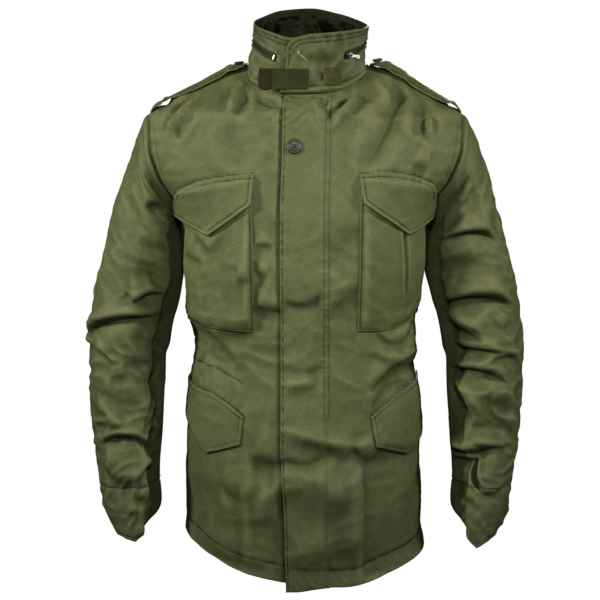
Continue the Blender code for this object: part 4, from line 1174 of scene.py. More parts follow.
def placket():
    """The storm flap, with a row of stitching along its free edge and two along its seam."""
    top = PLACKET_EDGE[0][0]
    length = top - PLACKET_EDGE[-1][0]
    share = (stations(PLACKET_WIDTH, 1.7) / PLACKET_WIDTH)[None, :]
    height = top - stations(length, 2.6)[:, None] * (1.0 - 5.0 / length * rise(share, 0.2, 0.9))
    free = placket_edge(height)
    across = free * (1 - share) + PLACKET_SEWN_EDGE * share
    ripple = 0.9 * bump(across - free, 2.0, 5.0) * noise(height / 5.0, 0.4, 51)
    out = placket_rise(share, height) + ripple - 0.9 * bump(across - free, 3.2, 1.1)
    fasten = rise(height, -520.0, -480.0)
    lines = [((line, 4.0), (line, -514.0)) for line in PLACKET_SEAMS]
    for line in lines:
        out = out + fasten * seam_relief(line, across, height, 0.5, 1.1, 0.2)
    shade = 0.35 * fasten * seam_shade(lines, across, height) - 0.35 * bump(across - free, 3.2, 1.0)
    shade = shade + seam_shade([((-34.0, -0.5), (38.0, -0.5))], across, height)
    distance = edge_distances(share * PLACKET_WIDTH + 0 * height, top - height)
    uv = np.stack([across, height], -1)
    piece = wall("placket_cloth", SATEEN, on_body, across, height, out, 2.4, distance, uv, shade=shade)
    dress(piece, "placket")
    levels = np.linspace(4.0, -745.0, 120)
    rows = [np.stack([placket_edge(levels) + 3.2, levels], -1)]
    sew_rows("placket_stitches", on_placket, rows + [((line, 2.0), (line, -512.0)) for line in PLACKET_SEAMS])


def body_stitches():
    """Rows of stitching on the panels: the hem and the pocket welts."""
    rows = []
    for start, end in ((-230.0, -36.0), (40.0, 240.0), (260.0, 520.0), (-520.0, -260.0)):
        across = np.linspace(start, end, 80)
        rows.append(np.stack([across, hem_height(across) + HEM_BAND], -1))
    sew_rows("body_stitches", on_body, rows + list(WELT_LINES))


# ---------------------------------------------------------------- pockets

def patch(top, bottom, step, sign):
    """Grid between a top and a bottom line: across, height, both shares, distance to its edge."""
    top = np.array(top, float)
    bottom = np.array(bottom, float)
    middle = (top + bottom) / 2.0
    lengths = np.concatenate([[0.0], np.cumsum(np.linalg.norm(np.diff(middle, axis=0), axis=1))])
    runs = np.unique(np.concatenate([stations(lengths[-1], step), lengths[1:-1]]).round(3))
    tall = float(np.mean(np.linalg.norm(bottom - top, axis=1)))
    upper, lower = [np.stack([np.interp(runs, lengths, line[:, k]) for k in (0, 1)], -1)
                    for line in (top, bottom)]
    share = (stations(tall, step) / tall)[:, None]
    grid = upper * (1 - share[..., None]) + lower * share[..., None]
    ends = np.minimum(share, 1 - share) * np.linalg.norm(lower - upper, axis=-1)
    run = runs + 0 * ends
    distance = np.minimum(np.minimum(run, lengths[-1] - run), ends)
    return sign * grid[..., 0], grid[..., 1], run / lengths[-1], share, distance


def inset(outline, distance):
    """A polygon's open outline moved in by a distance; its corners are kept."""
    points = np.array(outline, float)
    run = np.diff(points, axis=0)
    normals = unit(np.stack([-run[:, 1], run[:, 0]], -1))
    inward = np.sum(normals * (points.mean(0) - points[:-1]), -1, keepdims=True)
    normals = np.where(inward < 0, -normals, normals)
    total = np.concatenate([normals[:1], normals]) + np.concatenate([normals, normals[-1:]])
    return points + total * distance / np.maximum(0.35, 0.5 * np.sum(total * total, -1, keepdims=True))


def signed(path, sign):
    return np.array(path, float) * np.array([sign, 1.0])


def share_down(top, bottom, across, height):
    """Share of the way from a top line down to a bottom line."""
    high = np.interp(across, column(top, 0), column(top, 1))
    low = np.interp(across, column(bottom, 0), column(bottom, 1))
    return np.clip((high - height) / (high - low), 0.0, 1.0)


def bag_shape(side, u, v):
    """How far a chest bag's cloth bulges, by the shares of its width and height, with its pleat."""
    edge = rise(u, 0.0, BAG_INNER_EDGE[side]) * rise(u, 1.0, 0.94)
    full = BAG_TOP_BULGE + (BAG_BULGE - BAG_TOP_BULGE) * rise(v, 0.0, 0.45)
    if side == "right":
        full = full + 5.2 * rise(v, 0.2, 0.6) * bump(u, 0.07, 0.16)
    bulge = edge * full * (0.25 + 0.75 * rise(v, 1.0, 0.9))
    if side == "left":
        beside = u - 0.02 * v
        slit = 1.5 * bump(beside, BAG_PLEAT, 0.016) * rise(v, 0.30, 0.36) * rise(v, 0.80, 0.65)
        lip = bump(beside, BAG_PLEAT - 0.035, 0.03) * rise(v, 0.25, 0.35) * rise(v, 0.9, 0.7)
        bulge = bulge - 4.6 * slit + 1.8 * lip
    return bulge


def chest_pocket(side):
    """A bellows bag, sewn down its sides and along its bottom."""
    top, bottom = CHEST_BAGS[side]
    across, height, u, v, distance = patch(top, bottom, 2.3, SIGN[side])
    sewn = signed(inset([top[0], *bottom, top[-1]], 3.0), SIGN[side])
    out = SEWN_ON + BAG_THICK + bag_shape(side, u, v) + seam_relief(sewn, across, height, 0.8, 1.3, 0.2)
    out = out + 0.8 * wrinkles(u * 3.1, v * 4.0, 61 if side == "left" else 67) * rise(distance, 0.0, 12.0)
    # painted shade: the left bag is darker in its pleat's slit and the right bag along the slope of its inner
    # edge
    if side == "left":
        groove = 0.5 * bump(u - 0.02 * v, BAG_PLEAT, 0.014) * rise(v, 0.28, 0.34) * rise(v, 0.84, 0.74)
    else:
        groove = 0.35 * bump(u, 0.018, 0.02) * rise(v, 0.3, 0.6)
    shade = seam_shade([sewn], across, height) - groove
    uv = np.stack([across, height], -1)
    piece = wall("chest_pocket_cloth_" + side, SATEEN, on_body, across, height, out, BAG_THICK, distance, uv,
                 shade=shade)
    dress(piece, "chest_pocket_" + side)

    def place(a, h, o):
        """Points off the bag where its stitches lie, at any point of the body."""
        levels = (-top[0][1], -bottom[0][1])
        inner = np.interp(-h, levels, (top[0][0], bottom[0][0]))
        outer = np.interp(-h, (-top[-1][1], -bottom[-1][1]), (top[-1][0], bottom[-1][0]))
        wide = np.clip((np.abs(a) - inner) / (outer - inner), 0.0, 1.0)
        bulge = bag_shape(side, wide, share_down(top, bottom, np.abs(a), h))
        return on_body(a, h, SEWN_ON + BAG_THICK - STITCH_SINK + bulge + o)

    sew_rows("chest_pocket_stitches_" + side, place, [sewn])


def flap(kind, side, outline, clear_at, mark):
    """A pointed flap sewn along its top, with a row of stitching inside its edge."""
    top, bottom = outline
    sign = SIGN[side]
    across, height, u, v, distance = patch(top, bottom, 1.7, sign)
    sewn = signed(inset([top[0], bottom[0], bottom[2], bottom[-1], top[-1]], 6.0), sign)
    hinge = signed(np.array(top, float) - np.array([0.0, 6.0]), sign)
    out = SEWN_ON + FLAP_THICK + clear_at(u, v) + mark * seam_relief(sewn, across, height, 1.1, 1.15, 0.13)
    out = out + seam_relief(hinge, across, height, 0.8, 1.15, 0.12) + 0.6 * noise(u * 4.0, v * 2.0, 71) * v
    shade = 0.7 * mark * seam_shade([sewn, hinge], across, height)
    uv = np.stack([across, height], -1)
    piece = wall(kind + "_cloth_" + side, SATEEN, on_body, across, height, out, FLAP_THICK, distance, uv,
                 shade=shade)
    dress(piece, kind + "_" + side)

    def place(a, h, o):
        """Points off the flap where its stitches lie."""
        ends = (min(top[0][0], bottom[0][0]), max(top[-1][0], bottom[-1][0]))
        wide = np.interp(np.abs(a), ends, (0.0, 1.0))
        clear = clear_at(wide, share_down(top, bottom, np.abs(a), h))
        return on_body(a, h, SEWN_ON + FLAP_THICK - STITCH_SINK + clear + o)

    sew_rows(kind + "_stitches_" + side, place, [sewn, hinge])


def over_bag(u, v):
    """How far a chest flap stands clear of the panel, over its bag."""
    full = BAG_TOP_BULGE + BAG_THICK + 1.6 + (BAG_BULGE - BAG_TOP_BULGE) * rise(v, 0.25, 1.15) * 0.85
    return full * rise(v, 0.0, 0.20) + 1.4 * v * v * np.sin(math.pi * np.clip(u, 0, 1))


def over_slit(u, v):
    """How far a lower flap stands clear of the panel."""
    return 0.4 + 2.6 * v * v * (0.45 + 0.55 * np.sin(math.pi * np.clip(u, 0, 1)))


# ---------------------------------------------------------------- sleeves

def armhole(turn, sign, under=0.0):
    """Where the sleeve starts beside the armhole; `under` tucks it in below the panel."""
    angle = np.radians(turn)
    reach = 1.0 + under / ARMHOLE_HALF_HEIGHT
    y = -ARMHOLE_HALF_DEPTH * reach * np.sin(angle)
    z = ARMHOLE_HEIGHT + ARMHOLE_HALF_HEIGHT * reach * np.cos(angle)
    width, front, back, power = ring_sizes(z)
    depth = np.where(y < 0, front, back)
    x = width * (1.0 - (np.abs(y) / depth) ** power) ** (1.0 / power)
    x = x + SEAM_GAP + WALL * np.cos(angle / 2.0) ** 2 - under * 1.4
    return np.stack([sign * x + ring_shift(z), y, z], -1)


def sleeve_ellipse(turn, down, side):
    """The sleeve's slanted rings, without creases."""
    sizes = [curve(SLEEVE_RINGS, down, number) for number in (1, 2, 3, 4, 5)]
    outer_x, inner_x, inner_z, centre_y, depth = sizes
    outer_x = outer_x + SLEEVE_OUT[side] * rise(down, 60.0, 120.0)
    inner_x = inner_x + SLEEVE_OUT[side] * rise(down, 240.0, 320.0)
    cosine = np.cos(np.radians(turn))
    x = (outer_x + inner_x) / 2 + (outer_x - inner_x) / 2 * cosine
    y = centre_y - depth * np.sin(np.radians(turn))
    z = (inner_z - down) / 2 - (down + inner_z) / 2 * cosine
    return np.stack([SIGN[side] * x, y, z], -1)


def sleeve_place(side):
    """Points off one sleeve: turn 0 at its outer seam and 90 at its front, `down` from the shoulder."""
    sign = SIGN[side]
    seed = 81 if side == "left" else 97

    def bare(turn, down):
        turn, down = np.broadcast_arrays(np.asarray(turn, float), np.asarray(down, float))
        start = np.full(down.shape, float(CAP_FROM))
        hold = rise(down, CAP_FROM + CAP_FADE, CAP_FROM)[..., None]
        first = armhole(turn, sign) - sleeve_ellipse(turn, start, side)
        return sleeve_ellipse(turn, down, side) + first * hold

    def relief(turn, down):
        total = np.zeros(np.broadcast(turn, down).shape)
        for lap in (-360.0, 0.0, 360.0):
            total = total + 2.5 * crease_relief(SLEEVE_CREASES[side], turn + lap, down, SLEEVE_DEGREE, -1.0)
        away = rise(np.abs(turn), 180.0, 150.0)
        crumpled = 0.8 + 0.9 * rise(down, 300.0, 380.0)
        total = total + 2.2 * away * noise(turn / 48.0 + 9.0, down / 58.0, seed)
        total = total + crumpled * 1.9 * away * wrinkles(turn / 46.0 + 4.0, down / 27.0, seed + 3)
        total = total + 0.4 * crumpled * away * wrinkles(turn / 30.0 + 1.0, down / 17.0, seed + 12)
        total = total + 0.35 * away * noise(turn / 12.0 + 2.0, down / 12.0, seed + 6)
        past_brink = turn - 124.0 - 9.0 * noise(down / 42.0, 3.3, seed + 9)
        below_cap = rise(down, 110.0, 160.0)
        total = total - 8.0 * rise(past_brink, 0.0, 12.0) * rise(turn, 182.0, 148.0) * below_cap
        total = total + 1.6 * bump(past_brink, -6.0, 9.0) * below_cap
        near_body = bump((turn + 360.0) % 360.0, 180.0, 45.0) * rise(down, 330.0, 250.0)
        total = total * (1.0 - 0.9 * near_body) + 0.9 * near_body
        return total * rise(down, CAP_FROM, CAP_FROM + 45.0)

    def place(turn, down, out):
        normals = sign * normals_of(bare, turn, down, 1.0, 1.0)
        return bare(turn, down) + normals * (relief(turn, down) + out)[..., None]

    return place


def sleeve(side):
    """A set-in sleeve, tucked in below the armhole's edge and hemmed at the front of its cuff."""
    sign = SIGN[side]
    place = sleeve_place(side)
    turns = np.interp(np.linspace(0.0, 1.0, 133), (0.0, 0.36, 0.93, 1.0), (-180.0, 0.0, 158.0, 180.0))
    downs = CAP_FROM + stations(CUFF - CAP_FROM, 2.5)
    turn, down = np.meshgrid(turns[:-1], downs)
    run = down - CAP_FROM
    seam = (180.0 - np.abs(turn)) * SLEEVE_DEGREE
    groove = (1.9 * bump(run, 0.0, 2.8) - 1.8 * bump(run, 9.0, 6.0)) * (0.2 + 0.8 * rise(seam, 0.0, 60.0))
    groove = groove + 1.2 * bump(seam, 0.0, 2.5) * rise(down, 320.0, 380.0)
    distance = CUFF - down
    half = rounded(distance, WALL) * WALL / 2.0
    outer = place(turn, down, half - groove - WALL / 2.0)
    inner = place(turn, down, -half - groove - WALL / 2.0)
    tuck = armhole(turns[:-1], sign, under=3.0)
    outer = np.concatenate([tuck[None], outer])
    inner = np.concatenate([tuck[None] - np.array([sign * 1.2, 0.0, 0.0]), inner])
    whole_turn, whole_down = np.meshgrid(turns, np.concatenate([[CAP_FROM - 4.0], downs]))
    uv = np.stack([whole_turn * SLEEVE_DEGREE, -whole_down], -1)
    shade = -0.35 * bump(run, 0.0, 2.0) - 0.5 * bump(seam, 0.0, 2.0)
    wear_and_shade = np.clip(edge_wear(distance) + crests(outer, inner)[1:] + shade, 0.0, 1.0)
    # the row tucked under the armhole's edge gets the lowest value: painted shade in the seam
    wear_and_shade = np.concatenate([0.0 * wear_and_shade[:1], wear_and_shade])
    piece = shell("sleeve_cloth_" + side, SATEEN, outer, inner, uv, wear_and_shade, around=True)
    dress(piece, "sleeve_" + side)
    row = np.stack([np.linspace(20.0, 200.0, 90), np.full(90, CUFF - 3.0)], -1)
    sew_rows("sleeve_stitches_" + side, place, [row])


def hand_guard(side):
    """The pointed piece that carries on the front half of the cuff."""
    place = sleeve_place(side)
    width = (GUARD_EDGE[-1][0] - GUARD_EDGE[0][0]) * SLEEVE_DEGREE
    turns = GUARD_EDGE[0][0] + stations(width, 1.9) / SLEEVE_DEGREE
    reach = np.interp(turns, column(GUARD_EDGE, 0), column(GUARD_EDGE, 1))
    reach = reach + GUARD_TIP_EXTRA[side] * bump(turns, 108.0, 40.0)
    share = (stations(GUARD_TALL, 1.9) / GUARD_TALL)[:, None]
    start = CUFF - 0.4
    own = reach - start
    down = start + own * share
    turn = turns + 0 * down
    run = (turn - turns[0]) * SLEEVE_DEGREE
    edge = (1 - share) * own
    distance = np.minimum(np.minimum(run, width - run), np.minimum(share, 1 - share) * own)
    groove = 1.6 * bump(down, start, 2.6) + 0.6 * bump(edge, 5.0, 1.3)
    shade = -0.5 * bump(edge, 5.0, 1.2) - 0.5 * bump(down, start, 2.0)
    uv = np.stack([turn * SLEEVE_DEGREE, -down], -1)
    piece = wall("hand_guard_cloth_" + side, SATEEN, place, turn, down, -groove, GUARD_THICK, distance, uv,
                 shade=shade)
    dress(piece, "hand_guard_" + side)
    row = np.stack([turns, reach - 5.5], -1)[3:-3]
    sew_rows("hand_guard_stitches_" + side, lambda t, d, o: place(t, d, o - STITCH_SINK), [row])


# ---------------------------------------------------------------- collar

def neck_seam(turn, height=NECK_TOP):
    """The body's ring at the collar or lower down: turn 0 is the front, 90 the wearer's right."""
    angle = np.radians(turn)
    cosine = np.cos(angle)
    width, front, back, _ = ring_sizes(height)
    x = ring_shift(height) - width * np.sin(angle)
    y = -np.where(cosine > 0, front, back) * cosine
    return np.stack([x, y, height + neck_lift(cosine, height) + SEAM_GAP], -1)


def bare_collar(turn, up):
    """Outer surface of the collar without its lap; `up` runs 0 at the seam to 1 at the rim."""
    turn, up = np.broadcast_arrays(np.asarray(turn, float), np.asarray(up, float))
    angle = np.radians(turn)
    cosine = np.cos(angle)
    x = COLLAR_SHIFT - COLLAR_HALF_WIDTH * np.sin(angle)
    y = -np.where(cosine > 0, COLLAR_HALF_FRONT, COLLAR_HALF_BACK) * cosine
    rim = np.stack([x, y, curve(COLLAR_RIM, turn % 360.0)], -1)
    share = up[..., None]
    inward = np.stack([np.sin(angle), cosine, 0.0 * angle], -1)
    waist = inward * 4.0 * share * (1.0 - share) * COLLAR_WAIST
    return neck_seam(turn) * (1 - share) + rim * share + waist


def collar_base(turn, up):
    """The collar's surface with its foot spread over the top of the panels."""
    turn, up = np.broadcast_arrays(np.asarray(turn, float), np.asarray(up, float))
    drop = curve(COLLAR_FOOT, turn % 360.0)
    spread = neck_seam(turn, NECK_TOP - drop) - neck_seam(turn) + drop[..., None] * np.array([0.0, 0.0, 0.35])
    return bare_collar(turn, up) + spread * (ease(1.0 - up / 0.62) ** 1.2)[..., None]


def collar_out(turn, up):
    return -normals_of(bare_collar, turn, up, 0.5, 0.01)


def collar_lap(turn):
    """How far the collar stands out so that its left end passes over its right end."""
    return COLLAR_LAP * rise(turn, LAP_FROM, LAP_FROM + LAP_OVER)


def zip_ends(turn):
    """1 along the collar zip and 0 beyond its two ends."""
    return rise(turn, ZIP_FROM - 2.5, ZIP_FROM + 0.5) * rise(turn, ZIP_TO + 2.5, ZIP_TO - 0.5)


def zip_band(turn, up):
    """1 on the collar zip's opening and 0 off it."""
    low = rise(up, ZIP_LOW - 0.02, ZIP_LOW + 0.02)
    return zip_ends(turn) * low * rise(up, ZIP_HIGH + 0.02, ZIP_HIGH - 0.02)


def collar_form(turn, up):
    """Creases and crumpling of the collar, which the patches sewn on it follow."""
    relief = 2.0 * wrinkles(turn / 17.0, up * 3.1, 113) * rise(up, 0.0, 0.1) * rise(up, 1.04, 0.90)
    for lap in (0.0, 360.0):
        relief = relief + 2.2 * crease_relief(COLLAR_CREASES, turn + lap, up, COLLAR_DEGREE, COLLAR_HEIGHT)
    relief = relief + 1.1 * noise(turn / 40.0, up * 1.5, 119)
    once = turn % 360.0
    swell = bump(once, 72.0, 22.0) + 0.5 * bump(once, 292.0, 20.0)
    hollow = bump(once, 350.0, 4.5) * bump(up, 0.26, 0.11)
    return relief + 3.0 * swell * bump(up, 0.24, 0.20) - 3.4 * hollow


def collar_relief(turn, up):
    """The collar's form with its seams and its sunken zip opening."""
    foot = up * COLLAR_HEIGHT
    relief = collar_form(turn, up) + 1.1 * bump(foot, 5.0, 2.2) - 0.8 * bump(foot, 9.0, 1.6)
    for path in COLLAR_SEAMS:
        relief = relief + seam_relief(path, turn, up, 0.9, 1.2, 0.25, COLLAR_DEGREE, COLLAR_HEIGHT)
    lips = bump(up, ZIP_HIGH + 0.035, 0.03) + bump(up, ZIP_LOW - 0.035, 0.03)
    return relief + 1.3 * zip_ends(turn) * lips - 1.4 * zip_band(turn, up)


def off_collar(turn, up, out):
    """Points `out` mm off the collar's surface without its lap and its relief."""
    return collar_base(turn, up) + collar_out(turn, up) * out[..., None]


def on_collar(turn, up, out):
    """Points `out` mm off the collar, its lap included."""
    return off_collar(turn, up, collar_lap(turn) + collar_relief(turn, up) + out)


def on_creases(turn, up, out):
    """Points `out` mm off the collar's creases, where its patches lie."""
    return off_collar(turn, up, out + collar_form(turn, up))


def collar_seams():
    """Two rows of stitching inside the rim, round the lapping end and down its edge."""
    seams = []
    turn_off = COLLAR_END_TOP - 3.0
    for distance in (5.5, 11.0):
        top = 1.0 - distance / COLLAR_HEIGHT
        low_end = COLLAR_END_LOW - distance / COLLAR_DEGREE
        row = [(turn, top) for turn in np.linspace(COLLAR_START + 1.0, turn_off, 60)]
        for angle in np.linspace(0.1, math.pi / 2, 9):
            turn = turn_off + (low_end - turn_off) * math.sin(angle)
            row.append((turn, top - 0.16 * (1.0 - math.cos(angle))))
        if distance < 8:
            row += [(low_end, row[-1][1] - 0.1), (low_end, 0.06)]
        seams.append(row)
    return seams


COLLAR_SEAMS = collar_seams()


def collar():
    """The stand collar: one strip with a facing inside, its left end rounded and lapped over its right."""
    up = stations(COLLAR_HEIGHT, 1.8) / COLLAR_HEIGHT
    corner = 1.0 - np.sqrt(1.0 - np.clip((up - 0.74) / 0.26, 0.0, 1.0) ** 2)
    end = (COLLAR_END_LOW + (COLLAR_END_TOP - COLLAR_END_LOW) * corner)[:, None]
    turn = COLLAR_START + (end - COLLAR_START) * stations(COLLAR_LONG, 2.3) / COLLAR_LONG
    up = up[:, None] + 0 * turn
    foot = up * COLLAR_HEIGHT
    run = (turn - COLLAR_START) * COLLAR_DEGREE
    distance = edge_distances(run, foot)
    share = rounded(distance, COLLAR_WALL)
    half = COLLAR_WALL / 2.0
    outer = on_collar(turn, up, share * half - half - 1.5 * bump(foot, 0.0, 2.6))
    inside = 1.2 * wrinkles(turn / 16.0, up * 3.0, 131) * rise(up, 0.80, 0.70) * rise(distance, 0.0, 4.0)
    for low in (4.0, 8.0, 12.0):
        inside = inside - 0.7 * bump(COLLAR_HEIGHT - foot, low, 0.9)
    inside = inside - np.clip(-collar_form(turn, up) - 1.2, 0.0, None) * rise(up, 0.9, 0.8)
    inner = off_collar(turn, up, collar_lap(turn) - half - share * half + inside + 0.4 * (1.0 - share))
    shade = seam_shade(COLLAR_SEAMS, turn, up, COLLAR_DEGREE, COLLAR_HEIGHT)
    beside_lap = (turn - end + 360.0) * COLLAR_DEGREE
    shade = shade - 0.5 * bump(beside_lap, 0.8, 1.8) * (turn < 60.0) - 0.3 * zip_band(turn, up)
    shade = shade - 0.45 * bump(foot, 9.0, 1.4)
    wear_and_shade = np.clip(edge_wear(distance) + crests(outer, inner) + shade, 0.0, 1.0)
    piece = shell("collar_cloth", SATEEN, outer, inner, np.stack([run, foot], -1), wear_and_shade)
    piece.data.materials.append(SHADED_FACING)
    cells = (turn.shape[0] - 1) * (turn.shape[1] - 1)
    for polygon in piece.data.polygons[cells:2 * cells]:
        polygon.material_index = 1
    dress(piece, "collar")
    scale = np.array([COLLAR_DEGREE, COLLAR_HEIGHT])
    sew_rows("collar_stitches", lambda t, u, o: on_collar(t / COLLAR_DEGREE, u / COLLAR_HEIGHT, o),
             [walk(np.array(path) * scale, 1.0) for path in COLLAR_SEAMS])


def lining():
    """The crumpled hood and lining that show inside the back of the collar."""
    turns = np.linspace(0.0, 360.0, 241)
    ups = np.linspace(-0.25, 0.84, 52)
    turn, up = np.meshgrid(turns[:-1], ups)
    inward = 4.6 + 6.0 * rise(up, 0.80, 0.30) * (0.4 + 0.6 * np.sin(np.radians(turn) / 2.0) ** 2)
    x = np.cos(np.radians(turn)) * 5.0
    y = np.sin(np.radians(turn)) * 5.0
    slant = 3.4 * up
    crumple = wrinkles(x * 0.72 + slant, y * 0.72 - 0.5 * slant, 141)
    crumple = crumple + 0.35 * wrinkles(x * 1.6 - 2.0 * slant, y * 1.6 + slant, 147)
    out = -inward - 8.5 * np.clip(0.5 - crumple, 0.0, 1.4) * rise(up, 0.84, 0.64)
    above = np.clip(up, 0.02, 1.0)
    base = bare_collar(turn, above) + np.minimum(up, 0.02)[..., None] * np.array([0.0, 0.0, 70.0])
    normals = collar_out(turn, above)
    outer = base + normals * out[..., None]
    inner = base + normals * (out - 0.8)[..., None]
    whole, high = np.meshgrid(turns, ups)
    uv = np.stack([whole * COLLAR_DEGREE, high * COLLAR_HEIGHT], -1)
    # painted highlight and shade: paler on the crumple's ridges, near black in its hollows
    wear_and_shade = np.clip(0.40 + 1.3 * crumple, 0.0, 1.0)
    piece = shell("neck_lining", LINING, outer, inner, uv, wear_and_shade, around=True)
    attach(piece)


def share_at_level(turn, level):
    """The share of the collar's height at which it reaches a level, for each turn."""
    shares = np.linspace(0.0, 1.0, 81)
    heights = collar_base(turn[None, :], shares[:, None])[..., 2]
    return np.array([np.interp(level, heights[:, k], shares) for k in range(len(turn))])


def collar_patch(name, stands_for, material, turns, levels, out, thick, ribs, lean=(0.0, 0.0)):
    """A piece of tape sewn on the collar between two turns and two levels, ribbed along its length.

    Levels are heights in mm; the zip's, which are below 1, are shares of the collar's height.
    `lean` is how many degrees each end moves towards the front at the lower level.
    """
    width = (turns[1] - turns[0]) * COLLAR_DEGREE
    turn = turns[0] + stations(width, 1.0 if width < 80 else 2.4, 1.2) / COLLAR_DEGREE
    if max(levels) > 1.0:
        low, high = [share_at_level(turn, level) for level in levels]
    else:
        low, high = [np.full(len(turn), level) for level in levels]
    tall = float(np.mean(high - low)) * COLLAR_HEIGHT
    run = stations(tall, 1.0, 1.2)[:, None]
    up = low + (high - low) * run / tall
    distance = edge_distances((turn - turns[0] + 0 * up) * COLLAR_DEGREE, run + 0 * up)
    turn = turn[None, :] - (1.0 - run / tall) * np.interp(turn, turns, lean)
    top = out(turn) + thick + 0.12 * np.cos(run * ribs)
    uv = np.stack([turn * COLLAR_DEGREE, up * COLLAR_HEIGHT], -1)
    piece = wall(name, material, on_creases, turn, up, top, thick, distance, uv)
    attach(piece, stands_for)
    points = on_creases(turn, up, top)


def collar_trim():
    """The closing tab, its two landing patches and the tape of the collar's zip."""
    def over_edge(turn):
        return COLLAR_LAP + 1.0 - rise(turn, 384.0, 390.0) * (COLLAR_LAP - 1.0)

    collar_patch("collar_tab_webbing", "collar_tab", WEBBING, (360.5, 395.0), (-24.0, 6.0),
                 over_edge, 1.7, 2.4, lean=(0.0, 6.5))
    collar_patch("collar_loop_pile_right", "collar_loop_right", LOOP_PILE, (33.0, 48.0), (-21.0, 6.0),
                 lambda t: 0.9 + 0 * t, 1.3, 3.0, lean=(5.0, 6.5))
    collar_patch("collar_loop_pile_left", "collar_loop_left", LOOP_WEAVE, (326.0, 344.0),
                 (-18.0, 8.0), lambda t: collar_lap(t) + 1.0, 1.3, 3.0)
    collar_patch("collar_zip_tape", "collar_zip", TAPE, (ZIP_FROM, ZIP_TO), (ZIP_LOW, ZIP_HIGH),
                 lambda t: collar_lap(t) - 1.1, 1.1, 2.0)


def tooth(centre, a, b, c):
    """A small block with a narrower top."""
    corners = np.array([-a - b, a - b, a + b, b - a])
    return loft(np.array([centre + c + 0.7 * corners, centre - c + corners]))


def zip_teeth():
    """Two rows of meshed teeth along the middle of the collar zip."""
    teeth = []
    for k, turn in enumerate(np.arange(ZIP_FROM + 3.0, ZIP_TO - 6.0, 0.9)):
        at = np.array([turn])
        up = np.array([(ZIP_LOW + ZIP_HIGH) / 2 + (0.007 if k % 2 else -0.007)])
        base = collar_base(at, up)[0]
        out = collar_out(at, up)[0]
        along = unit(collar_base(at + 0.5, up)[0] - base)
        along = unit(along - out * np.dot(along, out))
        centre = base + out * (collar_lap(at)[0] + collar_form(at, up)[0] + 0.3)
        teeth.append(tooth(centre, along * 0.42, np.cross(out, along) * 1.1, out * 0.45))
    piece = new_object("collar_zip_teeth", *joined(teeth), COIL)
    piece.data.polygons.foreach_set("use_smooth", [False] * len(piece.data.polygons))
    attach(piece)


def thread_end():
    """A loose end of pale thread on the collar."""
    path = np.array([(369.5, 0.70), (371.2, 0.735), (372.2, 0.705),
                     (370.0, 0.675), (366.0, 0.615), (362.0, 0.53)])
    count = 40
    fine = np.linspace(0, 1, count)
    turn, up = [np.interp(fine, np.linspace(0, 1, len(path)), path[:, k]) for k in (0, 1)]
    points = on_collar(turn, up, np.full(count, 1.6))
    points = np.array([points[max(0, i - 1):i + 2].mean(0) for i in range(count)])
    out = collar_out(turn, up)
    side = unit(np.cross(unit(np.gradient(points, axis=0)), out))
    rings = np.array([circle(points[k], side[k], out[k], 0.75, 6) for k in range(count)])
    piece = new_object("thread_end", *loft(rings, tips=(points[0], points[-1])), PALE_THREAD)
    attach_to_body(piece, BODY)


# ---------------------------------------------------------------- straps and buttons

def strap_place(side):
    """Points off one shoulder strap: |x|, then -1 at its front edge to 1 at its back edge."""
    sign = SIGN[side]
    first, hole = (3, 215.0) if side == "left" else (1, 206.0)

    def place(x, share, out):
        crown, fall, width = [curve(STRAP_LINE, x, number) for number in (first, first + 1, 5)]
        y = STRAP_MIDDLE + STRAP_HALF_WIDTH * width * share
        z = crown - fall * (y / STRAP_ARCH) ** 2
        wave = 0.7 * noise(x / 21.0, share * 1.4, 151 if side == "left" else 157)
        raised = 1.6 * bump(x, 118.0, 7.0) + 4.0 * bump(x, hole, 6.0) * rise(share, 0.0, -0.8)
        dent = 2.2 * bump(x, 146.0, 5.0) * bump(share, -0.1, 0.5) if side == "left" else 0.0
        shift = np.interp(x, (STRAP_FROM, STRAP_TO), STRAP_SHIFT)
        points = np.stack(np.broadcast_arrays(sign * x + shift, y, z), -1)
        slope = np.interp(x, (90, 110, 200, 230), (0.10, 0.45, 0.60, 0.75))
        normal = unit(np.stack(np.broadcast_arrays(sign * slope, -0.10 + 0 * share, 1.0 + 0 * share), -1))
        return points + normal * (out + (wave + raised) * rise(x, 110.0, 114.0) - dent)[..., None]

    return place


def shoulder_strap(side):
    """A shoulder strap, with stitching round its edge and its rounded inner end."""
    place = strap_place(side)
    x = STRAP_FROM + stations(STRAP_TO - STRAP_FROM, 2.0)
    share = stations(2.0 * STRAP_HALF_CLOTH, 1.7) / STRAP_HALF_CLOTH - 1.0
    x, share = np.meshgrid(x, share, indexing="ij")
    half = STRAP_HALF_WIDTH * curve(STRAP_LINE, x, 5)
    distance = np.minimum((1.0 - np.abs(share)) * half, np.minimum(x - STRAP_FROM, STRAP_TO - x))
    out = -0.7 * bump(distance, STRAP_STITCH, 1.2)
    shade = -0.45 * bump(distance, STRAP_STITCH, 1.1)
    uv = np.stack([x, share * STRAP_HALF_CLOTH], -1)
    piece = wall("shoulder_strap_cloth_" + side, SATEEN, place, x, share, out, STRAP_THICK, distance, uv,
                 shade=shade)
    dress(piece, "shoulder_strap_" + side)
    edge = (1.0 - STRAP_STITCH / STRAP_HALF_WIDTH) * STRAP_HALF_CLOTH
    row = [(224.9, -edge), (104.0, -edge), (96.0, 0.0), (104.0, edge), (224.9, edge)]
    sew_rows("shoulder_strap_stitches_" + side, lambda a, b, o: place(a, b / STRAP_HALF_CLOTH, o - 0.6),
             [walk(row, 1.0)])


def solid_axes(name):
    """A solid's points in mm, their middle, and their directions from the longest to the shortest."""
    points = np.array([v.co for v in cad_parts[name].data.vertices]) / MM
    centre = points.mean(0)
    return points, centre, np.linalg.svd(points - centre)[2]


def towards(direction, way):
    return direction if np.dot(direction, way) > 0 else -direction


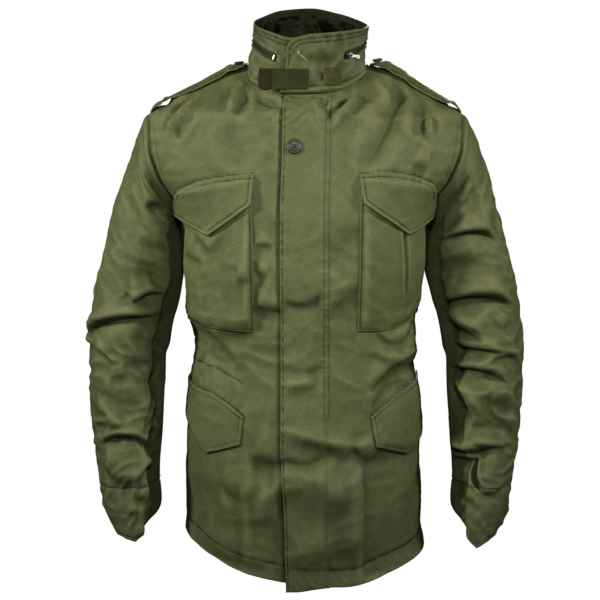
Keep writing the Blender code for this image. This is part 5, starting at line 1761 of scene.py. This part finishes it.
def button_mesh(name, stands_for, radius, facing, level, holes=False):
    """A dished button on the place and axis of its solid, with a raised rim."""
    points, centre, axes = solid_axes(stands_for)
    out = towards(axes[2], np.array(facing))
    side = unit(np.cross(np.array(level), out))
    up = np.cross(out, side)
    foot = centre + out * ((points - centre) @ out).min()
    rings = [circle(foot + out * height, side, up, share * radius, 48) for share, height in BUTTON_PROFILE]
    piece = new_object(name, *loft(np.array(rings), tips=(foot + out * BUTTON_DISH, foot)), BUTTON)
    if holes:
        drill(piece, [centre + (side * p + up * q) * 1.9 for p in (-1, 1) for q in (-1, 1)], out, side, up)
    attach(piece, stands_for)
    if holes:
        sew_button(foot + out * 1.9, out, side, up)


def drill(piece, centres, out, side, up):
    """Round holes through a thin piece."""
    pins = []
    for centre in centres:
        ends = [circle(centre + out * height, side, up, 1.05, 14) for height in (6.0, -6.0)]
        pins.append(loft(np.array(ends)))
    cutter = new_object("cutter", *joined(pins), BUTTON)
    modifier = piece.modifiers.new("holes", "BOOLEAN")
    modifier.operation = "DIFFERENCE"
    modifier.solver = "EXACT"
    modifier.object = cutter
    bpy.context.view_layer.update()
    drilled = bpy.data.meshes.new_from_object(piece.evaluated_get(bpy.context.evaluated_depsgraph_get()))
    piece.modifiers.clear()
    piece.data = drilled
    bpy.data.objects.remove(cutter)


def sew_button(middle, out, side, up):
    """The crossed threads that hold the front button."""
    thread = Thread()
    for diagonal in (side + up, side - up):
        for shift in (-0.35, 0.0, 0.35):
            spot = middle + side * shift
            thread.stitch(spot + diagonal * 2.1, spot - diagonal * 2.1, out, 0.32)
    thread.mesh("front_button_thread", "button")


# ---------------------------------------------------------------- the zip's metal parts

def zip_pull():
    """A wire ring on the slider's pin and the tongue that hangs from it, within the pull's solid."""
    points, centre, axes = solid_axes("zip_pull")
    back = towards(axes[0], centre - solid_axes("zip_slider")[1])
    face = towards(axes[2], collar_out(np.array([ZIP_TO]), np.array([0.56]))[0])
    wide = np.cross(face, back)
    pin = centre + back * (((points - centre) @ back).min() + 0.5)

    rings = []
    for turn in 2.0 * math.pi * np.arange(40) / 40:
        c = math.cos(turn)
        s = math.sin(turn)
        narrow = 3.2 - 0.7 * (1 + c) / 2
        wire = back * 3.2 + squared_spot(turn, back * 3.2, wide * narrow, 0.7)
        outward = unit(back * c / 3.2 + wide * s / narrow)
        rings.append(circle(pin + wire, outward, face, 0.5, 10))
    ring = new_object("zip_pull_ring", *loft(np.array(rings), hoop=True), BRIGHT)
    attach(ring, body="pull")

    rings = []
    turns = 2.0 * math.pi * np.arange(16)[:, None] / 16
    for along, half in reversed(TONGUE_PROFILE):
        rings.append(pin + back * along + squared_spot(turns, wide * half, face * 0.5, 0.55))
    tongue = new_object("zip_pull_tongue", *loft(np.array(rings)), BRIGHT)
    drill(tongue, [pin + back * 6.4], face, back, wide)
    attach(tongue, "zip_pull", body="pull")


def finish_hardware():
    """Metal and softened edges for the slider and the end bar, which stay the solids' own."""
    for name, material in (("zip_slider", DARK), ("zip_stop", BRIGHT)):
        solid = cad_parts[name]
        solid.data.materials.clear()
        solid.data.materials.append(material)
        bevel = solid.modifiers.new("soft edges", "BEVEL")
        bevel.width = 0.22 * MM
        bevel.segments = 2


# ---------------------------------------------------------------- studio

# name, place, aim (in metres), size in metres, power in watts, spread in degrees
LIGHTS = (
    ("key", (-0.02, -1.95, 0.40), (0.0, 0.0, -0.33), 0.45, 2.25, 36.0),
    ("side.left", (2.05, -1.0, 0.80), (0.0, 0.0, -0.30), 0.4, 6.3, 50.0),
    ("side.right", (-2.05, -1.0, 0.80), (0.0, 0.0, -0.30), 0.4, 7.9, 50.0),
    ("fill", (0.2, -3.0, 0.1), (0.0, 0.0, -0.3), 1.6, 0.7, 180.0),
    ("back", (0.3, 2.5, 0.5), (0.0, 0.0, -0.38), 0.5, 7.5, 50.0),
)
EYE = (-0.006, -3.176, 0.050)
EYE_AIM = (-0.006, 0.0, -0.340)


def aimed(name, data, place, aim):
    """An object at a place that looks at its aim."""
    made = bpy.data.objects.new(name, data)
    made.location = place
    made.rotation_euler = (Vector(aim) - Vector(place)).to_track_quat("-Z", "Y").to_euler()
    bpy.context.scene.collection.objects.link(made)
    return made


def studio():
    """A pale floor, a white background that lights softly, the lamps and the camera."""
    corners = [(x, y, -1500) for x, y in ((-1200, -1200), (1200, -1200), (1200, 1200), (-1200, 1200))]
    paint = hard_material("floor_paint", (0.80, 0.80, 0.79), (0.84, 0.84, 0.83), 0.8, 0.0, 4.0)
    new_object("floor", corners, [(0, 1, 2, 3)], paint)
    world = bpy.data.worlds.new("studio")
    bpy.context.scene.world = world
    world.use_nodes = True
    tree = world.node_tree
    tree.nodes.clear()
    soft = node(tree, "ShaderNodeBackground", Color=(1.0, 0.99, 0.95, 1.0), Strength=0.05)
    white = node(tree, "ShaderNodeBackground", Color=(1.0, 1.0, 1.0, 1.0), Strength=1.0)
    seen = node(tree, "ShaderNodeLightPath").outputs["Is Camera Ray"]
    mix = node(tree, "ShaderNodeMixShader", seen, soft.outputs[0], white.outputs[0])
    node(tree, "ShaderNodeOutputWorld", Surface=mix.outputs[0])
    for name, place, aim, size, power, spread in LIGHTS:
        lamp = bpy.data.lights.new(name, "AREA")
        lamp.shape = "SQUARE"
        lamp.size = size
        lamp.energy = power
        lamp.spread = math.radians(spread)
        aimed(name, lamp, place, aim)
    lens = bpy.data.cameras.new("camera")
    lens.lens = 128.0
    lens.sensor_width = 36.0
    scene = bpy.context.scene
    scene.camera = aimed("camera", lens, EYE, EYE_AIM)
    scene.view_settings.view_transform = "Standard"
    scene.view_settings.gamma = 0.72


# ---------------------------------------------------------------- the jacket

panel("back", "left", True, 4.2)
placket()
collar()
lining()
collar_trim()
zip_teeth()
body_stitches()
thread_end()
button_mesh("front_button_resin", "front_button", 11.0, (0.0, -1.0, 0.0), (0.0, 0.0, 1.0), holes=True)
for side in ("right", "left"):
    panel("front_" + side, side, False, 2.8)
    chest_pocket(side)
    flap("chest_flap", side, CHEST_FLAPS[side], over_bag, mark=0.65)
    flap("lower_flap", side, LOWER_FLAPS[side], over_slit, mark=0.4)
    sleeve(side)
    hand_guard(side)
    shoulder_strap(side)
    button_mesh("strap_button_resin_" + side, "strap_button_" + side, 7.5, (0.0, 0.0, 1.0), (0.0, 1.0, 0.0))
zip_pull()
finish_hardware()
studio()
